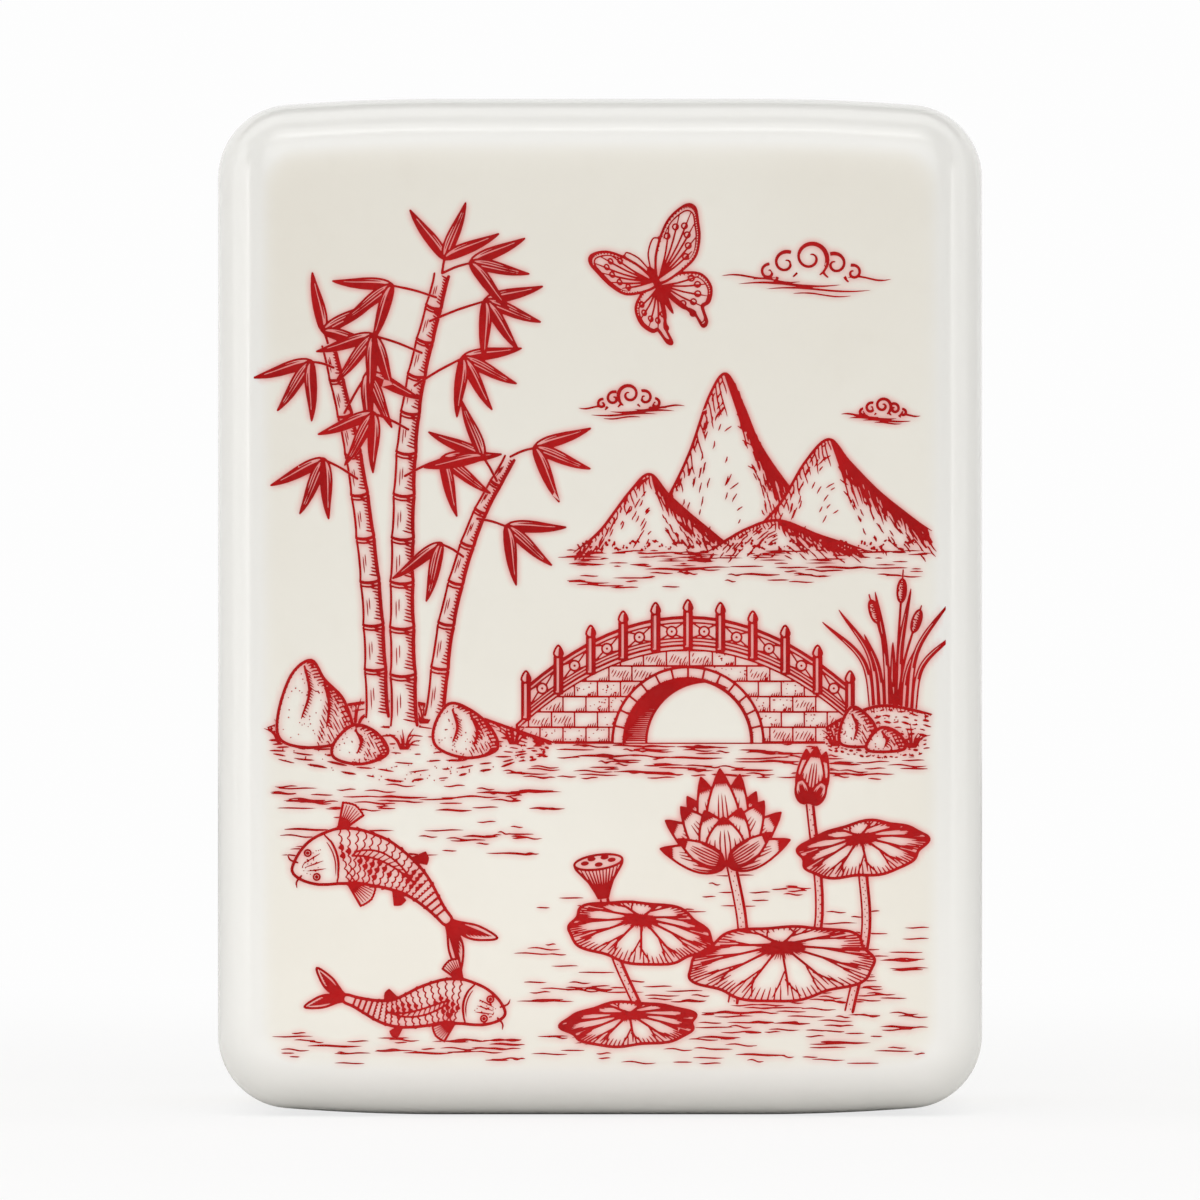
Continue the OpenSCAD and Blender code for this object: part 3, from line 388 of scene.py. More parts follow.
def drawButterfly():
    name = "ink_butterfly"
    origin = place(*butterfly["at"])
    put = lambda points: turned(points, origin, butterfly["tilt"], butterfly["span"])
    for side, wide in ((-1, butterfly["farWing"]), (1, 1)):
        lay = lambda points: put([(side * wide * x, y) for x, y in points])
        for shares, root, veins in ((hindWing, (0.04, -0.06), hindVeins),
                                    (foreWing, (0.04, 0.02), foreVeins)):
            wing = smooth(shares, 6, True)
            outlined(name, lay(wing), 0.095, 0.02)
            centre = middleOf(wing)
            shrunk = lambda p, s: toward(centre, p, s)
            pen(name, lay([shrunk(p, 0.84) for p in wing[8:-14]]), 0.05, 0.3, 0.3)
            for end in veins:
                middle = ((root[0] + end[0]) / 2 + 0.03 * (end[1] - root[1]),
                          (root[1] + end[1]) / 2 - 0.03 * (end[0] - root[0]))
                pen(name, lay(smooth([root, middle, end], 5)), 0.06, 1, 0.5)
                loop(name, lay(disc(toward(root, end, 0.8), 0.028, 12)), 0.05)
            for i in range(6, len(wing) - 12):
                pen(name, lay([wing[i], shrunk(wing[i], 0.90)]), 0.06, 1, 0.4)
        horn = lay(smooth(feeler, 6))
        pen(name, horn, 0.055, 0.8, 0.8)
        dot(name, horn[-1], 0.07)
    body = put(smooth(butterflyBody, 5, True))
    erase(body, 0.02)
    fill(name, body, 0.04)


# Ripples: middle and length of the main ones, and areas with finer ones between them

ripples = {"penWidth": 0.085, "fineWidth": 0.05}
mainRipples = [
    (0.50, 0.352, 0.08), (0.64, 0.350, 0.10), (0.77, 0.346, 0.07), (0.56, 0.334, 0.08), (0.70, 0.330, 0.06),
    (0.20, 0.305, 0.09), (0.35, 0.310, 0.08), (0.06, 0.300, 0.07), (0.28, 0.290, 0.06), (0.42, 0.292, 0.06),
    (0.06, 0.268, 0.08), (0.32, 0.260, 0.06), (0.38, 0.240, 0.05), (0.10, 0.020, 0.09), (0.24, 0.012, 0.08),
    (0.36, 0.022, 0.06), (0.68, 0.030, 0.07), (0.79, 0.046, 0.06), (0.87, 0.024, 0.08), (0.95, 0.042, 0.06),
    (0.74, 0.010, 0.08), (0.95, 0.118, 0.06), (0.48, 0.572, 0.06), (0.61, 0.566, 0.09), (0.74, 0.560, 0.07),
    (0.86, 0.568, 0.08),
]
rippleAreas = [  # left, right, low, high, count
    (0.36, 0.98, 0.326, 0.366, 120), (0.0, 0.45, 0.29, 0.325, 46), (0.45, 1.0, 0.0, 0.06, 60),
    (0.40, 0.66, 0.07, 0.10, 26), (0.0, 0.42, 0.235, 0.285, 34), (0.0, 0.45, 0.0, 0.035, 34),
    (0.84, 1.0, 0.07, 0.19, 34), (0.46, 0.98, 0.545, 0.572, 34), (0.66, 0.92, 0.03, 0.09, 30),
    (0.40, 0.50, 0.10, 0.20, 10), (0.62, 0.80, 0.17, 0.22, 14),
]


def drawRipples():
    name = "ink_ripples"
    rng = random.Random(5)
    wave = lambda x, y, half, rise, fall: [(x - half, y), (x - half / 3, y + rise), (x + half / 3, y - fall),
                                           (x + half, y)]
    for u, v, share in mainRipples:
        x, y = place(u, v)
        half = share * picture["width"] / 2
        pen(name, smooth(wave(x, y, half, 0.025, 0.02), 5), ripples["penWidth"], 0.1, 0.1)
    for left, right, low, high, count in rippleAreas:
        for i in range(count):
            x, y = place(rng.uniform(left, right), rng.uniform(low, high))
            half = rng.uniform(0.25, 0.95)
            x = min(max(x, half), picture["width"] - half)
            bow = rng.uniform(-0.03, 0.05)
            pen(name, smooth(wave(x, y, half, bow, bow), 4), ripples["fineWidth"], 0.1, 0.1)


# Reeds

reeds = {"at": (0.945, 0.395), "blades": 9, "fan": 21, "gap": 0.2, "bladeWidth": 0.17, "height": 5.4,
         "headLong": 0.9, "headWide": 0.34}
reedHeads = [(-12, 0.92), (3, 1.08), (13, 0.84)]


def drawReeds():
    name = "ink_reeds"
    rng = random.Random(17)
    root = place(*reeds["at"])
    for k in range(reeds["blades"]):
        a = reeds["fan"] * (2 * k / (reeds["blades"] - 1) - 1)
        h = reeds["height"] * (0.75 + 0.2 * math.sin(math.radians(160 * k)))
        base = (root[0] + (k - reeds["blades"] / 2) * reeds["gap"], root[1])
        line = smooth([base, (base[0] + h * 0.25 * aim(a)[1], base[1] + 0.55 * h),
                       (base[0] + h * aim(a)[1] * (1 + abs(a) / 60), base[1] + h * aim(a)[0])], 12)
        width = lambda s: reeds["bladeWidth"] / 2 * math.sin(math.pi * (0.16 + 0.84 * s)) ** 0.6
        side = lambda f: [beside(line, i / 24, f * width(i / 24)) for i in range(25)]
        erase(side(1) + side(-1)[::-1], 0.02)
        pen(name, side(1), 0.05, 1, 0.5)
        pen(name, side(-1), 0.06, 1, 0.5)
        dark = [beside(line, i / 24, 0) for i in range(9, 25)] + [beside(line, i / 24, -width(i / 24))
                                                                  for i in range(24, 8, -1)]
        fill(name, dark, 0.02)
    for angle, tall in reedHeads:
        h = reeds["height"] * tall
        line = smooth([root, (root[0] + 0.35 * h * aim(angle)[1], root[1] + 0.5 * h),
                       (root[0] + h * aim(angle)[1], root[1] + h * aim(angle)[0])], 12)
        pen(name, line, 0.09, 1, 0.6)
        end, d = along(line, 0.86), heading(line, 1)
        turn = math.degrees(math.atan2(d[1], d[0]))
        head = disc(end, reeds["headLong"] / 2, 24, reeds["headWide"] / 2, turn)
        outlined(name, head, 0.08, 0.02)
        for i in range(9):
            x = reeds["headLong"] * (0.42 - 0.84 * i / 8)
            low = -0.46 * reeds["headWide"] * math.sqrt(max(0, 1 - (2 * x / reeds["headLong"]) ** 2))
            pen(name, turned([(x, low), (x + 0.04, 0.25 * low), (x + 0.06, -0.3 * low)], end, turn),
                0.06, 1, 0.3)
        for i in range(10):
            dot(name, turned([(rng.uniform(-0.34, 0.34), rng.uniform(0.03, 0.11))], end, turn)[0], 0.025)


# Footbridge

bridge = {
    "feet": ((0.375, 0.372), (0.89, 0.372)), "rise": 3.1, "lift": 0.55, "foot": 0.15,
    "arch": 2.5, "ring": 0.46, "wedges": 13,
    "course": 0.6, "stone": 0.9, "ledge": 0.12,
    "posts": 11, "postWide": 0.3, "postInset": 0.35, "knobWide": 0.36, "knobHigh": 0.46,
    "rail": 1.15, "fret": 0.2,
}
knobSides = [(-0.25, 0), (-0.5, 0.35), (0, 1), (0.5, 0.35), (0.25, 0)]


def drawBridge():
    name = "ink_bridge"
    rng = random.Random(91)
    x0, y0 = place(*bridge["feet"][0])
    span = place(*bridge["feet"][1])[0] - x0
    x1 = x0 + span
    deck = lambda x: y0 + bridge["rise"] * (1 - (2 * (x - x0) / span - 1) ** 2) + bridge["lift"]
    foot = y0 - bridge["foot"]
    xs = [x0 + span * i / 80 for i in range(81)]
    centre = (x0 + span / 2, foot)
    arch, outer, rail = bridge["arch"], bridge["arch"] + bridge["ring"], bridge["rail"]
    course, stone, ledge, inset = bridge["course"], bridge["stone"], bridge["ledge"], bridge["postInset"]
    posts = [x0 + inset + (span - 2 * inset) * k / (bridge["posts"] - 1) for k in range(bridge["posts"])]
    wall = [(x0, foot)] + [(x, deck(x)) for x in xs] + [(x1, foot)]
    erase(wall, 0.03)
    erase([(x, deck(x) - 0.1) for x in xs] + [(x, deck(x) + rail) for x in xs][::-1], 0.02)
    loop(name, wall, 0.1)
    y, level = foot + course, 0
    fineSteps = [x0 + span * i / 300 for i in range(301)]
    while y < deck(centre[0]):
        bed = [x for x in fineSteps if y < deck(x) - ledge and math.dist((x, y), centre) > outer + 0.03]
        for side in (-1, 1):
            part = [(x, y) for x in bed if (x - centre[0]) * side > 0]
            if len(part) > 2:
                pen(name, part, 0.06, 0.8, 0.8)
        y += course
        level += 1
    for k in range(level + 1):
        low = foot + course * k
        start = x0 + (0.5 * stone if k % 2 else stone)
        x = start
        while x < x1:
            top = min(foot + course * (k + 1), deck(x) - ledge)
            if top - low > 0.15 and math.dist((x, low + 0.3), centre) > outer + 0.1:
                pen(name, [(x, low + 0.03), (x, top - 0.03)], 0.06, 0.8, 0.8)
                for j in range(4 if top - low > 0.4 else 0):
                    pen(name, [(x - 0.10 - 0.09 * j, low + 0.06),
                               (x - 0.05 - 0.09 * j, low + 0.26 - 0.03 * j)], 0.04, 1, 0.2)
            x += stone
        x = start - stone
        while x < x1:
            high = foot + course * (k + 1) - 0.06
            a, b = max(x, x0) + 0.07, min(x + stone, x1) - 0.07
            if b - a > 0.25 and min(deck(a), deck(b)) - 0.3 > low:
                block = [(a, low + 0.07), (b, low + 0.07), (b, min(high, deck(b) - 0.2)),
                         (a, min(high, deck(a) - 0.2))]
                tone = rng.random()
                if tone < 0.36:
                    ruled(name, block, 62, 0.115, 0.042, rng, 0.6)
                elif tone < 0.72:
                    stippled(name, block, 14, rng)
            x += stone
    halfRound = lambda r, n=48, shift=0: [off((centre[0] + shift, centre[1]), r, 180 * i / n)
                                          for i in range(n + 1)]
    erase(halfRound(outer))
    pen(name, halfRound(outer), 0.1, 1, 1)
    pen(name, halfRound(arch), 0.12, 1, 1)
    wedges = bridge["wedges"] + 1
    for i in range(1, wedges):
        pen(name, [off(centre, r, 180 * i / wedges) for r in (arch, outer)], 0.07, 1, 1)
    for i in range(90):
        near = arch + bridge["ring"] * (0.30 + 0.12 * math.sin(2.1 * i))
        if i * wedges % 90 > 24:
            pen(name, [off(centre, r, 180 * (i + 0.5) / 90) for r in (arch, near)], 0.038, 1, 0.2)
    far = [p for p in halfRound(arch - 0.12, 60, 0.3 * arch) if math.dist(p, centre) < arch - 0.04]
    pen(name, far, 0.08, 1, 1)
    for i in range(1, 60):  # shade under the arch
        p = off(centre, arch - 0.03, 180 - 2 * i)
        q = off((centre[0] + 0.3 * arch, centre[1]), arch - 0.12, 180 - 2 * i)
        pen(name, [p, toward(p, q, 1 if math.dist(q, centre) < arch else 0.55)], 0.055, 1, 0.7)
    kerb = [(x, deck(x)) for x in xs] + [(x, deck(x) - 0.17) for x in xs][::-1]
    outlined(name, kerb, 0.065)
    for x, after in zip(posts, posts[1:]):
        a, b = x + 0.17, after - 0.17
        for h, width in ((0.17, 0.05), (0.30, 0.05), (0.90, 0.055), (rail - 0.05, 0.12)):
            pen(name, [(t, deck(t) + h) for t in (a, (a + b) / 2, b)], width, 1, 1)
        cx, cy = (a + b) / 2, deck((a + b) / 2) + rail / 2
        loop(name, disc((cx, cy), bridge["fret"], 20), 0.06)
        dot(name, (cx, cy), 0.05)
        for sx in (-1, 1):
            for sy, h in ((-1, 0.30), (1, 0.90)):
                t = a if sx < 0 else b
                pen(name, [(cx + sx * 0.15, cy + sy * 0.13), (t, deck(t) + h)], 0.05, 1, 1)
    for x in posts:
        y, half, top = deck(x), bridge["postWide"] / 2, deck(x) + rail + 0.18
        post = [(x - half, y - 0.1), (x - half, top), (x + half, top), (x + half, y - 0.1)]
        outlined(name, post, 0.08)
        fill(name, [(x + 0.25 * half, y - 0.06), (x + 0.25 * half, top), (x + half, top),
                    (x + half, y - 0.06)], 0.02)
        pen(name, [(x - 0.5 * half, y), (x - 0.5 * half, top - 0.05)], 0.035, 0.6, 0.6)
        knob = smooth([(x + bridge["knobWide"] * s, top + bridge["knobHigh"] * t) for s, t in knobSides], 5)
        outlined(name, knob, 0.075)
        fill(name, [(x + 0.02, top + 0.04), (x + 0.13, top + 0.16), (x + 0.03, top + 0.34)], 0.03)


# Banks: ground lines, lines where they meet the water, and tufts of grass

banks = {"rows": 9, "tuftHigh": 1.2}
bankTops = [[(0, 0.385), (0.08, 0.405), (0.18, 0.415), (0.28, 0.405), (0.38, 0.380), (0.43, 0.368)],
            [(0.84, 0.385), (0.88, 0.400), (0.93, 0.410), (1, 0.400)]]
bankFeet = [[(0, 0.350), (0.10, 0.335), (0.20, 0.322), (0.30, 0.330), (0.38, 0.345), (0.43, 0.352)],
            [(0.84, 0.360), (0.89, 0.352), (0.94, 0.350), (1, 0.355)]]
tufts = [(0.13, 0.385, 1.15), (0.235, 0.390, 1.0), (0.37, 0.366, 0.95), (0.02, 0.368, 1.0),
         (0.205, 0.360, 0.9), (0.97, 0.362, 0.85), (0.855, 0.364, 0.8)]


def drawBanks():
    name = "ink_banks"
    rng = random.Random(31)
    for top, low in zip(bankTops, bankFeet):
        line, under = smooth(places(top), 8), smooth(places(low), 8)
        erase(line + under[::-1], 0.02)
        pen(name, line, 0.11, 0.4, 0.4, 0.1)
        for r in range(banks["rows"]):
            f = (r + 0.8) / banks["rows"]
            s = 0.012 * (r % 3)
            while s < 0.96:
                reach = rng.uniform(0.02, 0.075)
                strand = []
                for i in range(5):
                    q = min(1, s + reach * i / 4)
                    x, y = toward(along(line, q), along(under, q), f)
                    strand.append((x, y + 0.03 * math.sin(40 * q + r)))
                pen(name, strand, rng.choice((0.05, 0.07, 0.095)), 0.1, 0.1)
                s += reach + rng.uniform(0.006, 0.04)
        count = int(run(line) / 0.12)
        for i in range(count):
            x, y = along(line, i / count)
            pen(name, [(x, y), (x + 0.08, y - rng.uniform(0.08, 0.34))], 0.05, 1, 0.1)
        stippled(name, line + under[::-1], int(26 * run(line)), rng)
    for u, v, high in tufts:
        x, y = place(u, v)
        for k in range(7):
            a = 17 * (k - 3) + 6 * math.sin(3 * k + u * 40)
            h = high * banks["tuftHigh"] * (0.62 + 0.38 * math.sin(2.2 * k + u * 40) ** 2) * aim(0.6 * a)[0]
            root = x + (k - 3) * 0.05
            pen(name, smooth([(root, y), (root + 0.5 * h * aim(0.6 * a)[1], y + 0.5 * h * aim(0.6 * a)[0]),
                              (root + 1.05 * h * aim(a)[1], y + h * aim(a)[0])], 5), 0.07, 0.7, 0.1, 0.6)


# Rocks: the outline of each and the creases down its face

rocks = {"shadeGap": 0.12, "reach": 0.42}
rockOutlines = [
    [(0.865, 0.365), (0.862, 0.385), (0.878, 0.408), (0.898, 0.402), (0.915, 0.385), (0.912, 0.365)],
    [(0.905, 0.358), (0.906, 0.372), (0.925, 0.385), (0.950, 0.378), (0.958, 0.360)],
    [(0.020, 0.370), (0.015, 0.400), (0.035, 0.445), (0.065, 0.462), (0.085, 0.440), (0.115, 0.415),
     (0.125, 0.375), (0.070, 0.362)],
    [(0.255, 0.362), (0.250, 0.385), (0.272, 0.412), (0.305, 0.405), (0.335, 0.385), (0.345, 0.360),
     (0.300, 0.350)],
    [(0.100, 0.350), (0.100, 0.368), (0.130, 0.388), (0.165, 0.378), (0.180, 0.355), (0.140, 0.343)],
]
rockCreases = [
    [[(0.880, 0.400), (0.887, 0.385), (0.882, 0.370)]],
    [[(0.925, 0.380), (0.932, 0.370), (0.928, 0.362)]],
    [[(0.055, 0.455), (0.062, 0.425), (0.050, 0.395)], [(0.085, 0.435), (0.092, 0.410), (0.088, 0.385)]],
    [[(0.278, 0.405), (0.285, 0.385), (0.278, 0.368)], [(0.305, 0.400), (0.315, 0.380), (0.310, 0.365)]],
    [[(0.132, 0.382), (0.140, 0.368), (0.134, 0.355)]],
]


def drawRock(k):
    name = "ink_rocks"
    rng = random.Random(40 + k)
    outline = smooth(places(rockOutlines[k]), 6, True)
    outlined(name, outline, 0.11, 0.03)
    for crease in rockCreases[k]:
        line = smooth(places(crease), 6)
        pen(name, line, 0.09, 0.9, 0.4)
        count = int(run(line) / rocks["shadeGap"]) + 1
        for i in range(1, count):
            x, y = along(line, i / count)
            reach = rocks["reach"] * (1 - 0.5 * i / count) * rng.uniform(0.8, 1.2)
            pen(name, [(x, y), (x + reach * 0.75, y - reach * 0.55)], 0.055, 1, 0.15)
    cx, cy = middleOf(outline)
    left, right = min(p[0] for p in outline), max(p[0] for p in outline)
    wide = right - left
    shade = [(max(x, right - 0.40 * wide + 0.2 * (y - cy)), y) for x, y in outline]
    ruled(name, shade, -62, 0.13, 0.05, rng, 0.8)
    stippled(name, [toward((cx, cy), p, 0.9) for p in outline], int(34 * wide), rng)
    count = int(run(outline) / 0.16)
    for i in range(count):
        x, y = along(outline + outline[:1], i / count)
        if x > cx:
            pen(name, [(x, y), (x - 0.22, y - 0.02), (x - 0.36, y - 0.09)], 0.055, 1, 0.1)
        else:
            pen(name, [(x, y), (x + 0.10, y - 0.05)], 0.045, 1, 0.1)


# Bamboo

bamboo = {"girth": 1.0, "top": 0.55, "leafLong": 2.3, "leafWide": 0.17, "leafFoot": 0.3, "leafBend": 0.1}
stalkRoutes = [[(0.165, 0.395), (0.155, 0.540), (0.130, 0.690), (0.090, 0.825)],
               [(0.250, 0.395), (0.270, 0.510), (0.310, 0.615), (0.365, 0.695)],
               [(0.205, 0.385), (0.202, 0.570), (0.215, 0.750), (0.262, 0.905)]]
stalkWidths = [0.85, 0.7, 1]
stalkJoints = [9, 7, 11]
stalks = [smooth(places(route), 20) for route in stalkRoutes]
twigs = [  # stalk, share along it, direction, reach in leaf lengths, directions of the leaves
    (0, 0.62, 150, 0.65, (-160, -120, -80)), (0, 0.80, 60, 0.78, (-20, -60, -95)),
    (0, 0.93, 165, 0.40, (-170, -130, -95)), (0, 1.00, 110, 0.22, (35, -10, 95)),
    (2, 0.52, 25, 0.70, (10, -30, -70)), (2, 0.62, 155, 0.65, (-165, -125, -85)),
    (2, 0.72, 30, 0.95, (15, -20, -55, -90)), (2, 0.80, 160, 0.87, (-170, -135, -100, -65)),
    (2, 0.88, 20, 1.00, (20, -15, -50, -85)), (2, 0.94, 165, 0.78, (170, -150, -115)),
    (2, 1.00, 20, 0.52, (30, -5, -45)), (2, 1.00, 80, 0.26, (75, 120, 30)),
    (1, 0.55, 150, 0.44, (-150, -110)), (1, 0.70, -15, 0.52, (5, -35, -75)),
    (1, 0.88, 120, 0.48, (150, 105, -175)), (1, 1.00, 20, 0.44, (25, -15, -60)),
]


def drawStalk(k):
    name = "ink_bamboo_stalks"
    rng = random.Random(60 + k)
    line, joints = stalks[k], stalkJoints[k]
    length = math.dist(line[0], line[-1])
    half = lambda s: stalkWidths[k] * bamboo["girth"] / 2 * (1 - (1 - bamboo["top"]) * s)
    side = lambda f: [beside(line, i / 80, f * half(i / 80)) for i in range(81)]
    erase(side(1.04) + side(-1.04)[::-1], 0.04)
    knots = [(i / joints) ** 0.93 for i in range(joints + 1)]
    for a, b in zip(knots, knots[1:]):
        low, high = a + 0.07 / length, b - 0.07 / length
        for f, width in ((0.95, 0.085), (-0.93, 0.13)):
            edge = []
            for i in range(13):
                s = low + (high - low) * i / 12
                edge.append(beside(line, s, half(s) * f * (1 + 0.1 * abs(i / 6 - 1) ** 3)))
            pen(name, edge, width, 0.9, 0.9)
        if b < 1:
            for shift, width in ((0.03, 0.12), (-0.12, 0.07)):
                s = b + shift / length
                joint = [beside(line, s - 0.005 * (1 - f * f), half(s) * f * 1.05)
                         for f in (-1, -0.6, -0.2, 0.2, 0.6, 1)]
                pen(name, joint, width, 0.8, 0.8)
        count = int((high - low) * length / 0.12)
        for i in range(1, count):
            t = i / count
            s = low + (high - low) * t
            reach = 0.62 + 0.5 * abs(2 * t - 1) ** 2 + rng.uniform(-0.12, 0.12)
            pen(name, [beside(line, s + 0.002 * j, half(s) * (-0.95 + reach * j / 3)) for j in range(4)],
                0.055, 1, 0.2)
        for f, start, reach in ((0.5, 0.12, 0.55), (0.25, 0.3, 0.4)):
            pen(name, [beside(line, low + (high - low) * (start + reach * i / 6), half(low) * f)
                       for i in range(7)], 0.035, 0.2, 0.2)


def drawLeaf(base, angle, dark):
    name = "ink_bamboo_leaves"
    n, long = 14, bamboo["leafLong"]
    lower = -1 if aim(angle)[0] > 0 else 1
    bend = lower * bamboo["leafBend"]
    full = lambda s: max(0, math.sin(math.pi * s ** 0.72)) ** 0.9
    half = lambda s: long * bamboo["leafWide"] / 2 * (full(s) + bamboo["leafFoot"] * (1 - s) ** 3)
    sag = lambda s: long * bend * math.sin(math.pi / 2 * s) ** 2
    spot = lambda s, f: turned([(long * s, sag(s) + f * half(s))], base, angle)[0]
    line = lambda f, first=0, last=n: [spot(i / n, f) for i in range(first, last + 1)]
    outline = line(1) + line(-1)[::-1][1:]
    outlined(name, outline, 0.075, 0.025)
    if dark:
        fill(name, line(-0.10 * lower) + line(lower)[::-1][1:-1], 0.02)
        pen(name, line(-0.55 * lower, 2, n - 3), 0.045, 0.2, 0.2)
    else:
        pen(name, line(0, 0, n - 1), 0.06, 1, 0.2)
        for f in (0.5, -0.5):
            pen(name, line(f, 1, n - 3), 0.04, 0.2, 0.2)
        fill(name, line(0.62 * lower, 1, n - 2) + line(lower, 1, n - 2)[::-1], 0.02)


def drawBamboo():
    name = "ink_bamboo_leaves"
    for k, share, angle, reach, spread in twigs:
        start = along(stalks[k], share)
        end = off(start, reach * bamboo["leafLong"], angle)
        middle = ((start[0] + end[0]) / 2, (start[1] + end[1]) / 2 + 0.05)
        pen(name, smooth([start, middle, end], 6), 0.09, 1, 0.8)
        for i, a in enumerate(sorted(spread, key=lambda a: -abs(a + 90))):
            drawLeaf(end, a, i % 3 != 1)
        dot(name, end, 0.085)


# Lotus

lotus = {"stemWide": 0.34, "padVeins": 11, "padLift": 0.25, "blossom": 4.6, "bud": 2.2, "pod": 1.9}
stemRoutes = [[(0.700, 0.070), (0.715, 0.150), (0.690, 0.255)],
              [(0.875, 0.060), (0.900, 0.150), (0.895, 0.225)],
              [(0.560, 0.060), (0.520, 0.130), (0.505, 0.195)],
              [(0.800, 0.080), (0.830, 0.170), (0.815, 0.305)]]
stemWidths = [1, 0.9, 0.82, 0.76]
pads = [((0.895, 0.245), 5, 2.1, 8, 40), ((0.560, 0.150), 5.6, 2.4, -6, 130),
        ((0.775, 0.115), 7.2, 2.9, 3, 220),
        ((0.545, 0.045), 5.2, 1.7, 2, 310)]  # place, width, height, tilt, phase of the wavy rim
blossomPetals = [
    ((0, 0.02), 58, 0.60, 0.22, 0.05), ((0, 0.02), 122, 0.60, 0.22, -0.05), ((0, 0.02), 74, 0.70, 0.25, 0.04),
    ((0, 0.02), 106, 0.70, 0.25, -0.04), ((0, 0.02), 90, 0.74, 0.27, 0), ((0, 0), 28, 0.60, 0.24, 0.14),
    ((0, 0), 152, 0.60, 0.24, -0.14), ((0, 0), 48, 0.58, 0.26, 0.08), ((0, 0), 132, 0.58, 0.26, -0.08),
    ((0, -0.02), 4, 0.56, 0.22, 0.18), ((0, -0.02), 176, 0.56, 0.22, -0.18),
    ((0, -0.02), 68, 0.46, 0.28, 0.04), ((0, -0.02), 112, 0.46, 0.28, -0.04), ((0, -0.03), 90, 0.38, 0.30, 0),
    ((0.03, -0.03), 22, 0.42, 0.17, 0.16), ((-0.03, -0.03), 158, 0.42, 0.17, -0.16),
]  # foot, direction, length, width, curl
budPetals = [((0.03, 0), 78, 0.92, 0.34, 0.05), ((-0.03, 0), 102, 0.92, 0.34, -0.05),
             ((0, -0.02), 90, 1, 0.40, 0), ((0.05, -0.03), 62, 0.50, 0.24, 0.10),
             ((-0.05, -0.03), 118, 0.50, 0.24, -0.10)]
flowers = [((0.690, 0.235), blossomPetals, lotus["blossom"], 4),
           ((0.815, 0.300), budPetals, lotus["bud"], -8)]
podAt = (0.505, 0.190)
podSides = [(0.10, 0), (0.22, 0.30), (0.46, 0.62), (0.50, 0.74)]
podEyes = [(-0.28, 0.75), (0, 0.69), (0.28, 0.75), (-0.13, 0.82), (0.14, 0.82)]


def drawStem(k):
    name = "ink_lotus_leaves"
    line = smooth(places(stemRoutes[k]), 10)
    half = lotus["stemWide"] * stemWidths[k] / 2
    side = lambda f: [beside(line, i / 30, half * f) for i in range(31)]
    erase(side(1) + side(-1)[::-1], 0.03)
    pen(name, side(1), 0.07, 1, 1)
    pen(name, side(-1), 0.11, 1, 1)
    count = int(run(line) / 0.16)
    for i in range(count):
        dot(name, beside(line, (i + 0.5) / count, half * (0.25 if i % 2 else -0.25)), 0.03)


def drawPad(k):
    name = "ink_lotus_leaves"
    at, wide, high, tilt, phase = pads[k]
    rng = random.Random(70 + k)
    origin = place(*at)
    wave = lambda a: 1 + 0.045 * aim(5 * a + phase)[1] + 0.03 * aim(9 * a + 2 * phase)[1]
    lift = lambda a, r: aim(a)[1] * wave(a) * r / 2 + lotus["padLift"] * (1 - r)
    spot = lambda a, r: turned([(wide / 2 * aim(a)[0] * wave(a) * r, high * lift(a, r))], origin, tilt)[0]
    outline = [spot(3 * i, 1) for i in range(120)]
    outlined(name, outline, 0.105, 0.035)
    fill(name, [spot(18 * i, 0.05) for i in range(20)], 0.04)
    count = lotus["padVeins"]
    for i in range(count):
        a = 360 * (i + 0.3) / count
        gap = 360 / count
        pen(name, [spot(a + 2 * math.sin(3 * r), r) for r in [0.05 + 0.85 * j / 10 for j in range(11)]],
            0.085, 1, 0.4)
        for sign in (1, -1):
            fork = 0.55 + 0.07 * sign
            branch = [spot(a + sign * gap * 0.30 * (j / 6) ** 0.8, fork + (0.95 - fork) * j / 6)
                      for j in range(7)]
            pen(name, branch, 0.055, 0.9, 0.3)
        for j in range(7):
            b = a + gap * (j + 1) / 8
            reach = 0.16 + 0.12 * rng.random() + 0.10 * abs(j - 3) / 3
            pen(name, [spot(b, 0.985 - reach * s) for s in (0, 0.5, 1)], 0.045, 1, 0.1)
        for j in range(1, 5):
            b = a + gap * j / 5
            pen(name, [spot(b, 0.07), spot(b, 0.22 + 0.16 * rng.random())], 0.055, 1, 0.1)


def drawPetal(base, angle, long, wide, curl):
    name = "ink_lotus_flowers"
    n = 14
    swell = lambda s: max(0, math.sin(math.pi * s ** 0.82)) ** 0.72 if 0 < s < 1 else 0
    half = lambda s: wide * (swell(s) * (1 - 0.25 * s ** 3) / 2 + 0.14 * (1 - s) ** 2)
    spot = lambda s, f: turned([(long * s, curl * long * s * s + f * half(s))], base, angle)[0]
    line = lambda f, first=0, last=n: [spot(i / n, f) for i in range(first, last + 1)]
    outline = line(1) + line(-1)[::-1][1:]
    outlined(name, outline, 0.085, 0.012)
    for k in range(-3, 4):
        f = k / 3.7
        last = max(3, int(n * (0.82 - 0.35 * abs(f) + (0.08 if k % 2 else 0))))
        pen(name, line(f, 0, last), 0.05, 1, 0.1)
        pen(name, line(f, int(n * (0.80 + 0.06 * abs(f)))), 0.06, 0.1, 1)


def drawFlower(origin, petals, size, tilt):
    for foot, angle, long, wide, curl in petals:
        base = turned([foot], origin, tilt, size)[0]
        drawPetal(base, angle + tilt, long * size, wide * size, curl)


